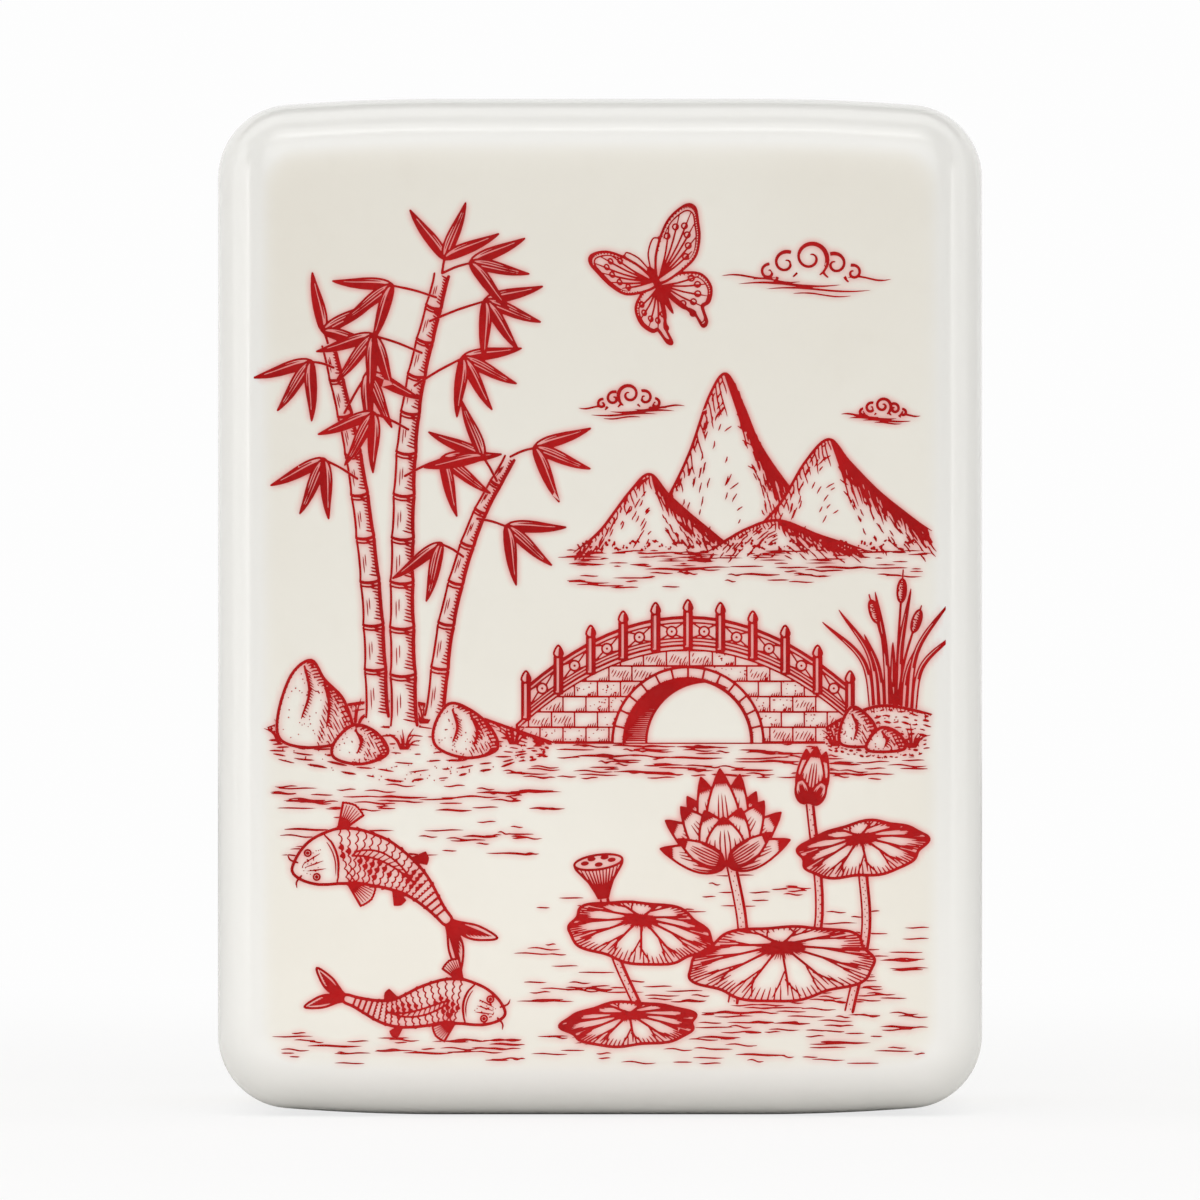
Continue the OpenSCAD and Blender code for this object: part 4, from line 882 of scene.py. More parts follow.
def drawPod(origin, size, tilt):
    name = "ink_lotus_flowers"
    put = lambda points: turned(points, origin, tilt, size)
    right = smooth(podSides, 6)
    cone = right + [(-x, y) for x, y in right[::-1]]
    outlined(name, put(cone), 0.09, 0.02)
    for k in range(-5, 6):
        f = k / 6
        pen(name, put([(f * (0.1 + 0.4 * t ** 0.9), 0.70 * t) for t in (0.02, 0.2, 0.4, 0.6, 0.8, 0.95)]),
            0.055, 1, 0.3)
    top = disc((0, 0.74), 0.5, 36, 0.15)
    outlined(name, put(top), 0.085)
    for eye in podEyes:
        fill(name, put(disc(eye, 0.08, 14, 0.04)), 0.02)


# Carp

carp = {"girth": 2.2, "tail": 1.35, "scaleRows": 19, "scaleColumns": 3}
carpRoutes = [[(0.045, 0.222), (0.125, 0.238), (0.210, 0.213), (0.272, 0.162)],
              [(0.350, 0.058), (0.275, 0.072), (0.190, 0.058), (0.115, 0.075)]]
carpWidths = [1, 0.8]
carpGirths = [(0, 0.36), (0.06, 0.66), (0.16, 0.90), (0.30, 1), (0.50, 0.86), (0.72, 0.52),
              (0.90, 0.24), (1, 0.16)]
carpFins = [(0.27, 1, 48, 0.62, 44), (0.27, -1, 48, 0.62, 44), (0.62, 1, 36, 0.36, 36),
            (0.62, -1, 36, 0.36, 36)]
carpTail = [(-0.05, 0), (0.12, 0.10), (0.34, 0.26), (0.62, 0.34), (0.50, 0.16), (0.34, 0.04), (0.10, -0.01)]
carpPatches = [[(0.24, 0.15), (0.47, -0.25), (0.70, 0.1)], [(0.36, 0.25), (0.62, -0.15)]]


def drawCarp(k):
    name = "ink_carp"
    rng = random.Random(80 + k)
    line = smooth(places(carpRoutes[k]), 16)
    size = carp["girth"] * carpWidths[k]
    half = lambda s: size / 2 * float(np.interp(s, *zip(*carpGirths)))
    spot = lambda s, f: beside(line, s, f * half(s))
    course = lambda s: math.degrees(math.atan2(heading(line, s)[1], heading(line, s)[0]))
    for side in (-1, 1):
        put = lambda points: turned([(x, side * y) for x, y in points], spot(0.985, 0), course(0.985),
                                    size * carp["tail"])
        lobe = smooth(carpTail, 6, True)
        outlined(name, put(lobe), 0.085, 0.02)
        for i in range(8):
            f = i / 7
            pen(name, put(smooth([(0, 0.01), (0.16, 0.03 + 0.07 * f), (0.36 + 0.22 * f, 0.06 + 0.25 * f)],
                                 5)), 0.055, 1, 0.3)
    for share, side, angle, reach, spread in carpFins:
        put = lambda points: turned(points, spot(share, 0.8 * side), course(share) + side * angle,
                                    size * reach)
        fan = [aim(spread / 16 * i) for i in range(-8, 9)]
        rim = []
        for i, (x, y) in zip(range(-8, 9), fan):
            long = 1 - 0.0075 * abs(i)
            rim.append(((long - (0.02 if i % 2 else 0)) * x, long * y))
        outlined(name, put([(0, 0)] + rim), 0.075, 0.02)
        for x, y in rim[1:-1:2]:
            pen(name, put([(0, 0), (0.94 * x, 0.94 * y)]), 0.055, 1, 0.5)
    nose = off(spot(0, 0), -0.6 * half(0), course(0))
    flank = lambda f: [spot(i / 14, f) for i in range(15)]
    body = smooth([nose] + flank(1) + flank(-1)[::-1], 4, True)
    outlined(name, body, 0.11, 0.03)
    for i in range(carp["scaleRows"]):
        s = 0.27 + 0.69 * i / carp["scaleRows"]
        for j in range(-carp["scaleColumns"], carp["scaleColumns"] + 1):
            f = (j + (0.5 if i % 2 else 0)) / (carp["scaleColumns"] + 0.2)
            if abs(f) > 0.97:
                continue
            r = size * 0.075 * math.sqrt(2 * half(s) / size)
            c, turn = spot(s, f), course(s)
            tip = lambda a: off(c, r, turn + a)
            pen(name, [tip(a) for a in range(-72, 73, 24)], 0.05, 0.6, 0.6)
            near = min(abs(s - a) / 0.10 + abs(f - b) / 0.55 for a, b in carpPatches[k])
            if near < 1 + rng.uniform(-0.12, 0.12):
                for a in (-46, -15, 15, 46):
                    pen(name, [c, tip(a)], 0.08, 1, 0.6)
    pen(name, [spot(0.20 + 0.05 * (1 - f * f), f) for f in [-0.9 + 0.15 * i for i in range(13)]],
        0.09, 0.7, 0.7)
    pen(name, [spot(0.18 + 0.05 * (1 - f * f), f) for f in [-0.75 + 0.15 * i for i in range(11)]],
        0.045, 0.3, 0.3)
    for f in (-0.62, 0.62):
        eye = spot(0.09, f)
        erase(disc(eye, 0.14, 16))
        loop(name, disc(eye, 0.13, 16), 0.055)
        dot(name, eye, 0.07)
    for f in (-0.3, 0, 0.3):
        pen(name, [spot(0.04, f * 0.8), spot(0.11, f), spot(0.165, f * 1.1)], 0.05, 0.3, 0.3)
    for i in range(26):
        dot(name, spot(rng.uniform(0.03, 0.17), rng.uniform(-0.5, 0.5)), 0.027)
    root = [spot(0.34 + 0.34 * i / 12, 0.10 * math.sin(math.pi * i / 12)) for i in range(13)]
    raised = lambda t: 0.10 * math.sin(math.pi * t) + 0.34 * math.sin(math.pi * min(1, 0.12 + t)) ** 0.7
    crest = [spot(0.36 + 0.36 * i / 12, raised(i / 12)) for i in range(13)]
    outlined(name, root + crest[::-1], 0.07)
    for a, b in zip(root, crest):
        pen(name, [a, b], 0.055, 1, 0.4)
    dx, dy = heading(line, 0)
    for f in (-1, 1):
        x, y = spot(0.01, 0.6 * f)
        pen(name, smooth([(x, y), (x - 0.25 * dx - 0.18 * f * dy, y - 0.25 * dy + 0.18 * f * dx),
                          (x - 0.30 * dx - 0.42 * f * dy, y - 0.30 * dy + 0.42 * f * dx)], 5), 0.06, 1, 0.3)


# The picture, its motifs from back to front

motifNames = ["ink_clouds", "ink_mountains", "ink_butterfly", "ink_ripples", "ink_reeds", "ink_bridge",
              "ink_banks", "ink_bamboo_stalks", "ink_rocks", "ink_bamboo_leaves", "ink_lotus_leaves",
              "ink_lotus_flowers", "ink_carp"]
for name in motifNames:
    layers[name] = np.zeros((rows, columns), np.float32)
for at, size, hand in zip(clouds["at"], clouds["sizes"], clouds["hands"]):
    drawCloud(place(*at), size, hand)
drawMountains()
drawButterfly()
drawRipples()
drawReeds()
drawBridge()
drawBanks()
for k in range(len(stalkRoutes)):
    drawStalk(k)
for k in range(len(rockOutlines)):
    drawRock(k)
drawBamboo()
for k in range(len(stemRoutes)):
    drawStem(k)
for k in range(len(pads)):
    drawPad(k)
for at, petals, size, tilt in flowers:
    drawFlower(place(*at), petals, size, tilt)
drawPod(place(*podAt), lotus["pod"], 8)
for k in range(len(carpRoutes)):
    drawCarp(k)
covered = np.zeros((rows, columns), np.float32)
for name in motifNames[::-1]:  # one film at most on any place of the face
    layers[name] = np.minimum(layers[name], 1 - covered)
    covered = np.maximum(covered, layers[name])
coverage = np.maximum.reduce(list(layers.values()))
print("picture drawn, ink share", round(float(coverage[margin:-margin, margin:-margin].mean()), 3))


# Outlines of the ink, traced from the board and thinned

tracing = {"slack": 0.005, "smallest": 0.0012, "edgeStep": 0.15, "level": 0.5}
turns = {1: ("BL",), 2: ("RB",), 3: ("RL",), 4: ("TR",), 5: ("BL", "TR"), 6: ("TB",), 7: ("TL",),
         8: ("LT",), 9: ("BT",), 10: ("RB", "LT"), 11: ("RT",), 12: ("LR",), 13: ("BR",), 14: ("LB",)}


def blurred(sheet):
    padded = np.pad(sheet, 1)
    across = 0.2 * (padded[:, :-2] + padded[:, 2:]) + 0.6 * padded[:, 1:-1]
    return 0.2 * (across[:-2] + across[2:]) + 0.6 * across[1:-1]


def traced(sheet):
    field = blurred(sheet) - tracing["level"]
    field[:2] = field[-2:] = -0.5
    field[:, :2] = field[:, -2:] = -0.5
    on = (field > 0).astype(np.int8)
    code = on[:-1, :-1] + 2 * on[:-1, 1:] + 4 * on[1:, 1:] + 8 * on[1:, :-1]
    edgeOf = {"B": lambda r, c: r * columns + c, "T": lambda r, c: (r + 1) * columns + c,
              "L": lambda r, c: (rows + r) * columns + c, "R": lambda r, c: (rows + r) * columns + c + 1}
    following = {}
    for kind, ways in turns.items():
        r, c = np.nonzero(code == kind)
        for way in ways:
            following.update(zip(edgeOf[way[0]](r, c).tolist(), edgeOf[way[1]](r, c).tolist()))
    loops = []
    while following:
        first, here = following.popitem()
        chain = [first]
        while here != first:
            chain.append(here)
            here = following.pop(here)
        edges = np.array(chain)
        upright = edges >= rows * columns
        r, c = np.divmod(edges - upright * rows * columns, columns)
        near, far = field[r, c], field[np.where(upright, r + 1, r), np.where(upright, c, c + 1)]
        t = near / (near - far)
        loops.append(np.stack([(c + np.where(upright, 0, t) - margin) * cell,
                               (r + np.where(upright, t, 0) - margin) * cell], 1))
    return loops


def thinned(loop):
    keep = np.zeros(len(loop), bool)
    far = int(np.argmax(((loop - loop[0]) ** 2).sum(1)))
    keep[0] = keep[far] = True
    around = np.vstack([loop, loop[:1]])
    work = [(0, far), (far, len(loop))]
    while work:
        a, b = work.pop()
        if b - a < 2:
            continue
        chord = around[b] - around[a]
        span = math.hypot(*chord) or 1e-9
        rest = around[a + 1:b] - around[a]
        away = np.abs(chord[0] * rest[:, 1] - chord[1] * rest[:, 0]) / span
        worst = int(np.argmax(away))
        if away[worst] > tracing["slack"]:
            keep[a + 1 + worst] = True
            work += [(a, a + 1 + worst), (a + 1 + worst, b)]
    return loop[keep]


def loopArea(loop):
    x, y = loop[:, 0], loop[:, 1]
    return float((x * np.roll(y, -1) - y * np.roll(x, -1)).sum() / 2)


def splitLong(loop):
    points = []
    for a, b in zip(loop, np.roll(loop, -1, 0)):
        points.append(tuple(a))
        low = min(a[0], b[0], picture["width"] - max(a[0], b[0]), min(a[1], b[1]))
        n = int(math.dist(a, b) / tracing["edgeStep"]) if low < 1.6 else 0
        points += [tuple(a + (b - a) * k / (n + 1)) for k in range(1, n + 1)]
    return points


def inkTriangles(loops):
    points, edges = [], []
    for loop in loops:
        first = len(points)
        points += [Vector(p) for p in splitLong(loop)]
        n = len(points) - first
        edges += [(first + k, first + (k + 1) % n) for k in range(n)]
    made, madeEdges, faces, fromPoints, fromEdges, _ = delaunay_2d_cdt(points, edges, [], 0, 1e-7, True)
    walls = {}
    for (a, b), sources in zip(madeEdges, fromEdges):
        for source in sources:
            if source < len(edges):
                p, q = (points[k] for k in edges[source])
                d = (made[b] - made[a]).dot(q - p)
                walls[(a, b) if d > 0 else (b, a)] = True
    owner = {}
    for k, face in enumerate(faces):
        for i in range(3):
            owner[(face[i], face[(i + 1) % 3])] = k
    state = [None] * len(faces)
    for (a, b) in walls:
        for way, value in (((a, b), True), ((b, a), False)):
            k = owner.get(way)
            if k is not None and state[k] is None:
                state[k] = value
    work = [k for k, value in enumerate(state) if value is not None]
    while work:
        k = work.pop()
        face = faces[k]
        for i in range(3):
            a, b = face[i], face[(i + 1) % 3]
            other = owner.get((b, a))
            if other is not None and state[other] is None and (a, b) not in walls and (b, a) not in walls:
                state[other] = state[k]
                work.append(other)
    return made, [face for k, face in enumerate(faces) if state[k]]


# Blocks

blocks = {
    "rimReach": 3.2,  # how far the soft rim reaches in from the edge
    "rimPower": 3.0,
    "rimSteps": 14,
    "cornerKeep": 0.75,
    "seamBevel": 0.05,
    "inkRoom": 0.014,  # room left in front of the face for the print
    "flatGap": 0.07,  # strip at the edge of the flat without extra points
    "haloStep": 0.12,
    "haloBlur": 6,  # cells that each pass of the blur reaches
    "haloFade": 14,  # cells over which the blush ends at the rim of the board
    "haloDepth": 0.6,
    "busy": 0.03,  # change of the blush per step from which the face gets extra points
    "backInset": 0.002,
    "bondInset": 0.03,
    "bondEdge": 0.06,
    "bondShoulder": 0.035,
    "paintedSheenDrop": 0.12,  # depth over which the face's cream gives way to a painted whiter sheen on the rim
    "fineSteps": (110, 14, 40, 36),  # points along a quarter of the outline: side, corner, shoulder, top
    "plainSteps": (8, 14, 8, 4),
}


def quarter(inset, side, corner, shoulder, top):
    turn = math.radians(tile["shoulderAngle"])
    radius = tile["cornerRadius"] - blocks["cornerKeep"] * inset
    big = tile["shoulderRadius"] - inset
    cx = tile["width"] / 2 - inset - radius
    sx, sy = cx - (big - radius) * math.sin(turn), tile["height"] / 2 - tile["shoulderRadius"]
    cy = sy + (big - radius) * math.cos(turn)
    arc = lambda x, y, r, a: (x + r * math.cos(a), y + r * math.sin(a))
    points = [(tile["width"] / 2 - inset, cy * k / side) for k in range(side)]
    points += [arc(cx, cy, radius, (math.pi / 2 - turn) * k / corner) for k in range(corner)]
    points += [arc(sx, sy, big, math.pi / 2 - turn * (1 - k / shoulder)) for k in range(shoulder)]
    return points + [(sx * (1 - k / top), tile["height"] / 2 - inset) for k in range(top + 1)]


def ring(inset, steps):
    q = quarter(inset, *steps)
    upper = q + [(-x, y) for x, y in q[-2::-1]]
    return upper + [(-x, -y) for x, y in upper[1:-1]]


def rimRows():
    reach, power, steps = blocks["rimReach"], blocks["rimPower"], blocks["rimSteps"]
    corner = reach * (1 - 0.5 ** (1 / power))
    other = lambda s: reach * (1 - (1 - (1 - s / reach) ** power) ** (1 / power))
    outward = [reach + (corner - reach) * k / steps for k in range(steps)]
    inward = [corner + (reach - corner) * k / steps for k in range(steps + 1)]
    return [(other(s), s) for s in outward] + [(s, other(s)) for s in inward]


def haloOf(x, y):
    c, r = x / cell + margin, y / cell + margin
    c0 = np.clip(np.floor(c).astype(int), 0, columns - 2)
    r0 = np.clip(np.floor(r).astype(int), 0, rows - 2)
    tc, tr = np.clip(c - c0, 0, 1), np.clip(r - r0, 0, 1)
    low = haze[r0, c0] * (1 - tc) + haze[r0, c0 + 1] * tc
    high = haze[r0 + 1, c0] * (1 - tc) + haze[r0 + 1, c0 + 1] * tc
    onBoard = (c > 1) & (c < columns - 2) & (r > 1) & (r < rows - 2)
    return (low * (1 - tr) + high * tr) * onBoard


haze = coverage
for _ in range(3):  # three box blurs, close to a soft bell
    for axis in (0, 1):
        width = blocks["haloBlur"]
        padding = [(width + 1, width) if a == axis else (0, 0) for a in (0, 1)]
        total = np.cumsum(np.pad(haze, padding), axis, dtype=np.float64)
        ends = total[2 * width + 1:] if axis == 0 else total[:, 2 * width + 1:]
        starts = total[:-2 * width - 1] if axis == 0 else total[:, :-2 * width - 1]
        haze = ((ends - starts) / (2 * width + 1)).astype(np.float32)
for axis, count in ((0, rows), (1, columns)):  # fade to nothing at the rim of the board
    fromEdge = np.minimum(np.arange(count), count - 1 - np.arange(count))
    ramp = np.clip((fromEdge - 2) / blocks["haloFade"], 0, 1)
    haze = haze * (ramp[:, None] if axis == 0 else ramp[None, :])


def shell(name, levels, steps, frontFill=None):
    loops = [ring(inset, steps) for inset, _ in levels]
    n = len(loops[0])
    verts = [(x * mm, y * mm, (z + tile["height"] / 2) * mm) for loop, (_, y) in zip(loops, levels)
             for x, z in loop]
    faces = [list(range(n))[::-1]]
    for k in range(len(levels) - 1):
        faces += [(k * n + i, k * n + (i + 1) % n, (k + 1) * n + (i + 1) % n, (k + 1) * n + i)
                  for i in range(n)]
    last = (len(levels) - 1) * n
    if frontFill is None:
        faces.append(list(range(last, last + n)))
    else:
        edge = [Vector((x, z + tile["height"] / 2)) for x, z in loops[-1]]
        sides = [(i, (i + 1) % n) for i in range(n)]
        made, _, triangles, sources, _, _ = delaunay_2d_cdt(edge + frontFill, sides, [], 1, 1e-7, True)
        number = {}
        for k, source in enumerate(sources):
            rim = [s for s in source if s < n]
            if rim:
                number[k] = last + rim[0]
            else:
                number[k] = len(verts)
                verts.append((made[k].x * mm, levels[-1][1] * mm, made[k].y * mm))
        faces += [tuple(number[k] for k in face) for face in triangles]
    mesh = bpy.data.meshes.new(name)
    mesh.from_pydata(verts, [], faces)
    mesh.polygons.foreach_set("use_smooth", [True] * len(mesh.polygons))
    piece = bpy.data.objects.new(name, mesh)
    bpy.context.scene.collection.objects.link(piece)
    return piece


halfDepth = tile["depth"] / 2
bondBack = halfDepth - tile["backDepth"]
bondFront = bondBack - tile["bondDepth"]
facePlane = -halfDepth + blocks["inkRoom"]
backPlane = halfDepth - blocks["backInset"]
bevel, reach, step = blocks["seamBevel"], blocks["rimReach"], blocks["haloStep"]
flat = [(z + tile["height"] / 2, x) for x, z in ring(reach + blocks["flatGap"], blocks["plainSteps"])]
grid = []
for column in range(int(picture["width"] / step) + 1):
    x = np.full(int(picture["height"] / step) + 1, column * step)
    y = np.arange(len(x)) * step + (0.5 * step if column % 2 else 0)
    value = haloOf(x, y)
    busy = sum(np.abs(haloOf(x + a, y + b) - value)
               for a, b in ((step, 0), (-step, 0), (0, step), (0, -step)))
    parts = crossings(flat, x[0] - picture["width"] / 2)
    coarse = (column % 6 == 0) & (np.arange(len(x)) % 6 == 0)
    for k in np.nonzero((busy > blocks["busy"]) | coarse)[0]:
        extra = Vector((x[k] - picture["width"] / 2, y[k] + picture["foot"]))
        if any(low < extra.y < high for low, high in parts):
            grid.append(extra)


def seam(plane, sign):
    return [(0, plane + sign * bevel), (bevel * 0.3, plane + sign * bevel * 0.3), (bevel, plane)]


frontRim = rimRows()
frontSeam, backSeam = bondFront - bevel, bondBack + bevel
frontSide = [(0, frontSeam + (facePlane + reach - frontSeam) * k / 3) for k in (1, 2)]
backSide = [(0, backPlane - reach + (backSeam - backPlane + reach) * k / 3) for k in (1, 2)]
frontRows = seam(bondFront, -1)[::-1] + frontSide + [(inset, facePlane + drop) for inset, drop in frontRim]
face = shell("faceBlock", frontRows, blocks["fineSteps"], grid)
bondRows = [(blocks["bondEdge"], 0), (blocks["bondShoulder"], blocks["bondInset"])]
bond = shell("bondLayer", [(inset, bondBack - drop) for inset, drop in bondRows]
             + [(blocks["bondInset"], (bondBack + bondFront) / 2)]
             + [(inset, bondFront + drop) for inset, drop in bondRows[::-1]], blocks["plainSteps"])
backRows = [(inset, backPlane - drop) for inset, drop in frontRim[::-1]] + backSide + seam(bondBack, 1)
back = shell("backBlock", backRows, blocks["plainSteps"])
for piece, node, slot in ((face, "face_block", "face_white"), (bond, "bond_layer", "bond_line"),
                          (back, "back_block", "back_ivory")):
    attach(piece, "root")
    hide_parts(node)
points = np.array([v.co for v in face.data.vertices]) / mm
blush = haloOf(points[:, 0] + picture["width"] / 2, points[:, 2] - picture["foot"])
blush = np.where(points[:, 1] < facePlane + blocks["haloDepth"], blush, 0)
# painted sheen: the rolled rim turns toward the whiter rim colour, standing in for reflection of the lights
sheenWeight = np.clip((points[:, 1] - facePlane) / blocks["paintedSheenDrop"], 0, 1)
for label, values in (("printHalo", blush), ("paintedRimSheen", sheenWeight * sheenWeight * (3 - 2 * sheenWeight))):
    face.data.attributes.new(label, "FLOAT", "POINT").data.foreach_set("value", values.astype(np.float32))
print("blocks built,", len(face.data.vertices), "points on the face block")


# Films of ink

film = {"thickness": 0.009, "depth": 0.012, "castFrom": -20.0}
faceTree = BVHTree.FromPolygons([v.co for v in face.data.vertices], [p.vertices for p in face.data.polygons])
inkPieces = []
for name in motifNames:
    loops = [thinned(loop) for loop in traced(layers[name])]
    loops = [loop for loop in loops if len(loop) > 2 and abs(loopArea(loop)) > tracing["smallest"]]
    points, triangles = inkTriangles(loops)
    used = sorted({k for triangle in triangles for k in triangle})
    number = {k: i for i, k in enumerate(used)}
    verts = []
    for k in used:
        x, z = (points[k].x - picture["width"] / 2) * mm, (points[k].y + picture["foot"]) * mm
        hit = faceTree.ray_cast(Vector((x, film["castFrom"] * mm, z)), Vector((0, 1, 0)))[0]
        verts.append((x, hit.y, z))
    n = len(verts)
    front = [(number[a], number[b], number[c]) for a, b, c in triangles]
    ways = {(f[i], f[(i + 1) % 3]) for f in front for i in range(3)}
    faces = front + [(c + n, b + n, a + n) for a, b, c in front]
    faces += [(b, a, a + n, b + n) for a, b in ways if (b, a) not in ways]
    verts = [(x, y + shift * mm, z) for shift in (-film["thickness"], film["depth"]) for x, y, z in verts]
    words = name.split("_")
    mesh = bpy.data.meshes.new(words[0] + "".join(word.capitalize() for word in words[1:]))
    mesh.from_pydata(verts, [], faces)
    piece = bpy.data.objects.new(mesh.name, mesh)
    bpy.context.scene.collection.objects.link(piece)
    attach(piece, "root")
    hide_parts(name)
    inkPieces.append(piece)
    print("film", piece.name, len(loops), "outlines", len(faces), "faces")


# Shared groups of nodes

def linear(red, green, blue):
    return tuple((c / 255 / 12.92 if c <= 10 else ((c / 255 + 0.055) / 1.055) ** 2.4)
                 for c in (red, green, blue)) + (1,)


def newGroup(name, inputs, outputs):
    group = bpy.data.node_groups.new(name, "ShaderNodeTree")
    for label, kind, value in inputs:
        socket = group.interface.new_socket(label, in_out="INPUT", socket_type=kind)
        socket.default_value = value
    for label, kind in outputs:
        group.interface.new_socket(label, in_out="OUTPUT", socket_type=kind)
    return group, group.nodes.new("NodeGroupInput"), group.nodes.new("NodeGroupOutput")


def node(tree, kind, values=None, **settings):
    made = tree.nodes.new(kind)
    for key, value in settings.items():
        setattr(made, key, value)
    for key, value in (values or {}).items():
        made.inputs[key].default_value = value
    return made


def link(tree, source, target):
    tree.links.new(source, target)


def mixColour(tree, factor, a, b):
    made = node(tree, "ShaderNodeMix", data_type="RGBA")
    link(tree, factor, made.inputs[0])
    for value, socket in ((a, made.inputs[6]), (b, made.inputs[7])):
        if isinstance(value, tuple):
            socket.default_value = value
        else:
            link(tree, value, socket)
    return made.outputs[2]


def noiseOf(tree, scale, detail, rough=0.5):
    coordinates = node(tree, "ShaderNodeTexCoord")
    noise = node(tree, "ShaderNodeTexNoise", {"Detail": detail, "Roughness": rough})
    link(tree, coordinates.outputs["Object"], noise.inputs["Vector"])
    link(tree, scale, noise.inputs["Scale"])
    return noise.outputs["Fac"]


def mapped(tree, source, values, **settings):
    made = node(tree, "ShaderNodeMapRange", values, **settings)
    link(tree, source, made.inputs["Value"])
    return made.outputs["Result"]


# Colour that drifts softly between two tones, with a third in faint flecks
driftingTone, enter, leave = newGroup("driftingTone", [
    ("Light", "NodeSocketColor", (0.8, 0.8, 0.75, 1)), ("Deep", "NodeSocketColor", (0.75, 0.74, 0.68, 1)),
    ("Fleck", "NodeSocketColor", (0.7, 0.68, 0.6, 1)), ("Size", "NodeSocketFloat", 60.0),
    ("Fleck size", "NodeSocketFloat", 900.0), ("Fleck share", "NodeSocketFloat", 0.2)],
    [("Colour", "NodeSocketColor")])
drift = mapped(driftingTone, noiseOf(driftingTone, enter.outputs["Size"], 3, 0.55),
               {"From Min": 0.35, "From Max": 0.68}, interpolation_type="SMOOTHSTEP")
tone = mixColour(driftingTone, drift, enter.outputs["Light"], enter.outputs["Deep"])
fleck = mapped(driftingTone, noiseOf(driftingTone, enter.outputs["Fleck size"], 2),
               {"From Min": 0.55, "From Max": 0.75})
share = node(driftingTone, "ShaderNodeMath", operation="MULTIPLY")
link(driftingTone, fleck, share.inputs[0])
link(driftingTone, enter.outputs["Fleck share"], share.inputs[1])
link(driftingTone, mixColour(driftingTone, share.outputs[0], tone, enter.outputs["Fleck"]),
     leave.inputs["Colour"])

# Normal of a polished moulding: a broad soft waviness with a faint fine grain
polishedSurface, enter, leave = newGroup("polishedSurface", [
    ("Wave size", "NodeSocketFloat", 250.0), ("Wave depth", "NodeSocketFloat", 0.04),
    ("Grain size", "NodeSocketFloat", 4000.0), ("Grain depth", "NodeSocketFloat", 0.01)],
    [("Normal", "NodeSocketVector")])
previous = None
for kind, detail in (("Wave", 1), ("Grain", 2)):
    bump = node(polishedSurface, "ShaderNodeBump", {"Distance": 0.0001})
    link(polishedSurface, enter.outputs[kind + " depth"], bump.inputs["Strength"])
    link(polishedSurface, noiseOf(polishedSurface, enter.outputs[kind + " size"], detail),
         bump.inputs["Height"])
    if previous:
        link(polishedSurface, previous, bump.inputs["Normal"])
    previous = bump.outputs["Normal"]
link(polishedSurface, previous, leave.inputs["Normal"])

# Roughness that varies a little, as hands and polishing leave it
handledGloss, enter, leave = newGroup("handledGloss", [
    ("Smooth", "NodeSocketFloat", 0.2), ("Worn", "NodeSocketFloat", 0.3), ("Size", "NodeSocketFloat", 180.0)],
    [("Roughness", "NodeSocketFloat")])
spread = node(handledGloss, "ShaderNodeMapRange", {"From Min": 0.35, "From Max": 0.7})
link(handledGloss, noiseOf(handledGloss, enter.outputs["Size"], 4, 0.6), spread.inputs["Value"])
link(handledGloss, enter.outputs["Smooth"], spread.inputs["To Min"])
link(handledGloss, enter.outputs["Worn"], spread.inputs["To Max"])
link(handledGloss, spread.outputs["Result"], leave.inputs["Roughness"])


def useGroup(tree, shared, values):
    made = tree.nodes.new("ShaderNodeGroup")
    made.node_tree = shared
    for key, value in values.items():
        made.inputs[key].default_value = value
    return made


def newMaterial(name):
    material = bpy.data.materials.new(name)
    material.use_nodes = True
    tree = material.node_tree
    return material, tree, tree.nodes["Principled BSDF"]


def plastic(name, look, tint=None):
    material, tree, shader = newMaterial(name)
    tones = {label.capitalize(): linear(*look[label]) for label in ("light", "deep", "fleck")}
    tones.update({"Size": look["toneSize"], "Fleck size": look["fleckSize"],
                  "Fleck share": look["fleckShare"]})
    surface = {"Wave size": look["waveSize"], "Wave depth": look["waveDepth"],
               "Grain size": look["grainSize"], "Grain depth": look["grainDepth"]}
    gloss = {"Smooth": look["smooth"], "Worn": look["worn"], "Size": look["wearSize"]}
    colour = useGroup(tree, driftingTone, tones).outputs["Colour"]
    link(tree, tint(tree, colour) if tint else colour, shader.inputs["Base Color"])
    link(tree, useGroup(tree, polishedSurface, surface).outputs["Normal"], shader.inputs["Normal"])
    link(tree, useGroup(tree, handledGloss, gloss).outputs["Roughness"], shader.inputs["Roughness"])
    shader.inputs["IOR"].default_value = look["ior"]
    shader.inputs["Specular IOR Level"].default_value = look["specular"]
    return material


# Finish of the face: milk white, blushed pink where the print lies close, with a painted whiter sheen on the
# rolled rim
faceLook = {
    # rim: colour of the painted sheen mixed in where the rim rolls back, standing in for its reflection
    "light": (220, 217, 208), "deep": (217, 213, 203), "fleck": (210, 205, 194), "rim": (222, 221, 217),
    "blush": (216, 124, 122), "blushShare": 0.9, "blushFull": 0.66,
    "toneSize": 55, "fleckSize": 700, "fleckShare": 0.12,
    "waveSize": 170, "waveDepth": 0.1, "grainSize": 3500, "grainDepth": 0.008,
    "smooth": 0.16, "worn": 0.21, "wearSize": 160, "ior": 1.5, "specular": 0.5,
}


def blushAndSheen(tree, colour):
    # painted sheen: whiter colour on the rolled rim in place of reflection, then the pink blush of the print
    sheenReading = node(tree, "ShaderNodeAttribute", attribute_name="paintedRimSheen")
    colour = mixColour(tree, sheenReading.outputs["Fac"], colour, linear(*faceLook["rim"]))
    reading = node(tree, "ShaderNodeAttribute", attribute_name="printHalo")
    strength = mapped(tree, reading.outputs["Fac"],
                      {"From Min": 0.02, "From Max": faceLook["blushFull"], "To Max": faceLook["blushShare"]})
    return mixColour(tree, strength, colour, linear(*faceLook["blush"]))


face.data.materials.append(plastic("faceWhite", faceLook, blushAndSheen))

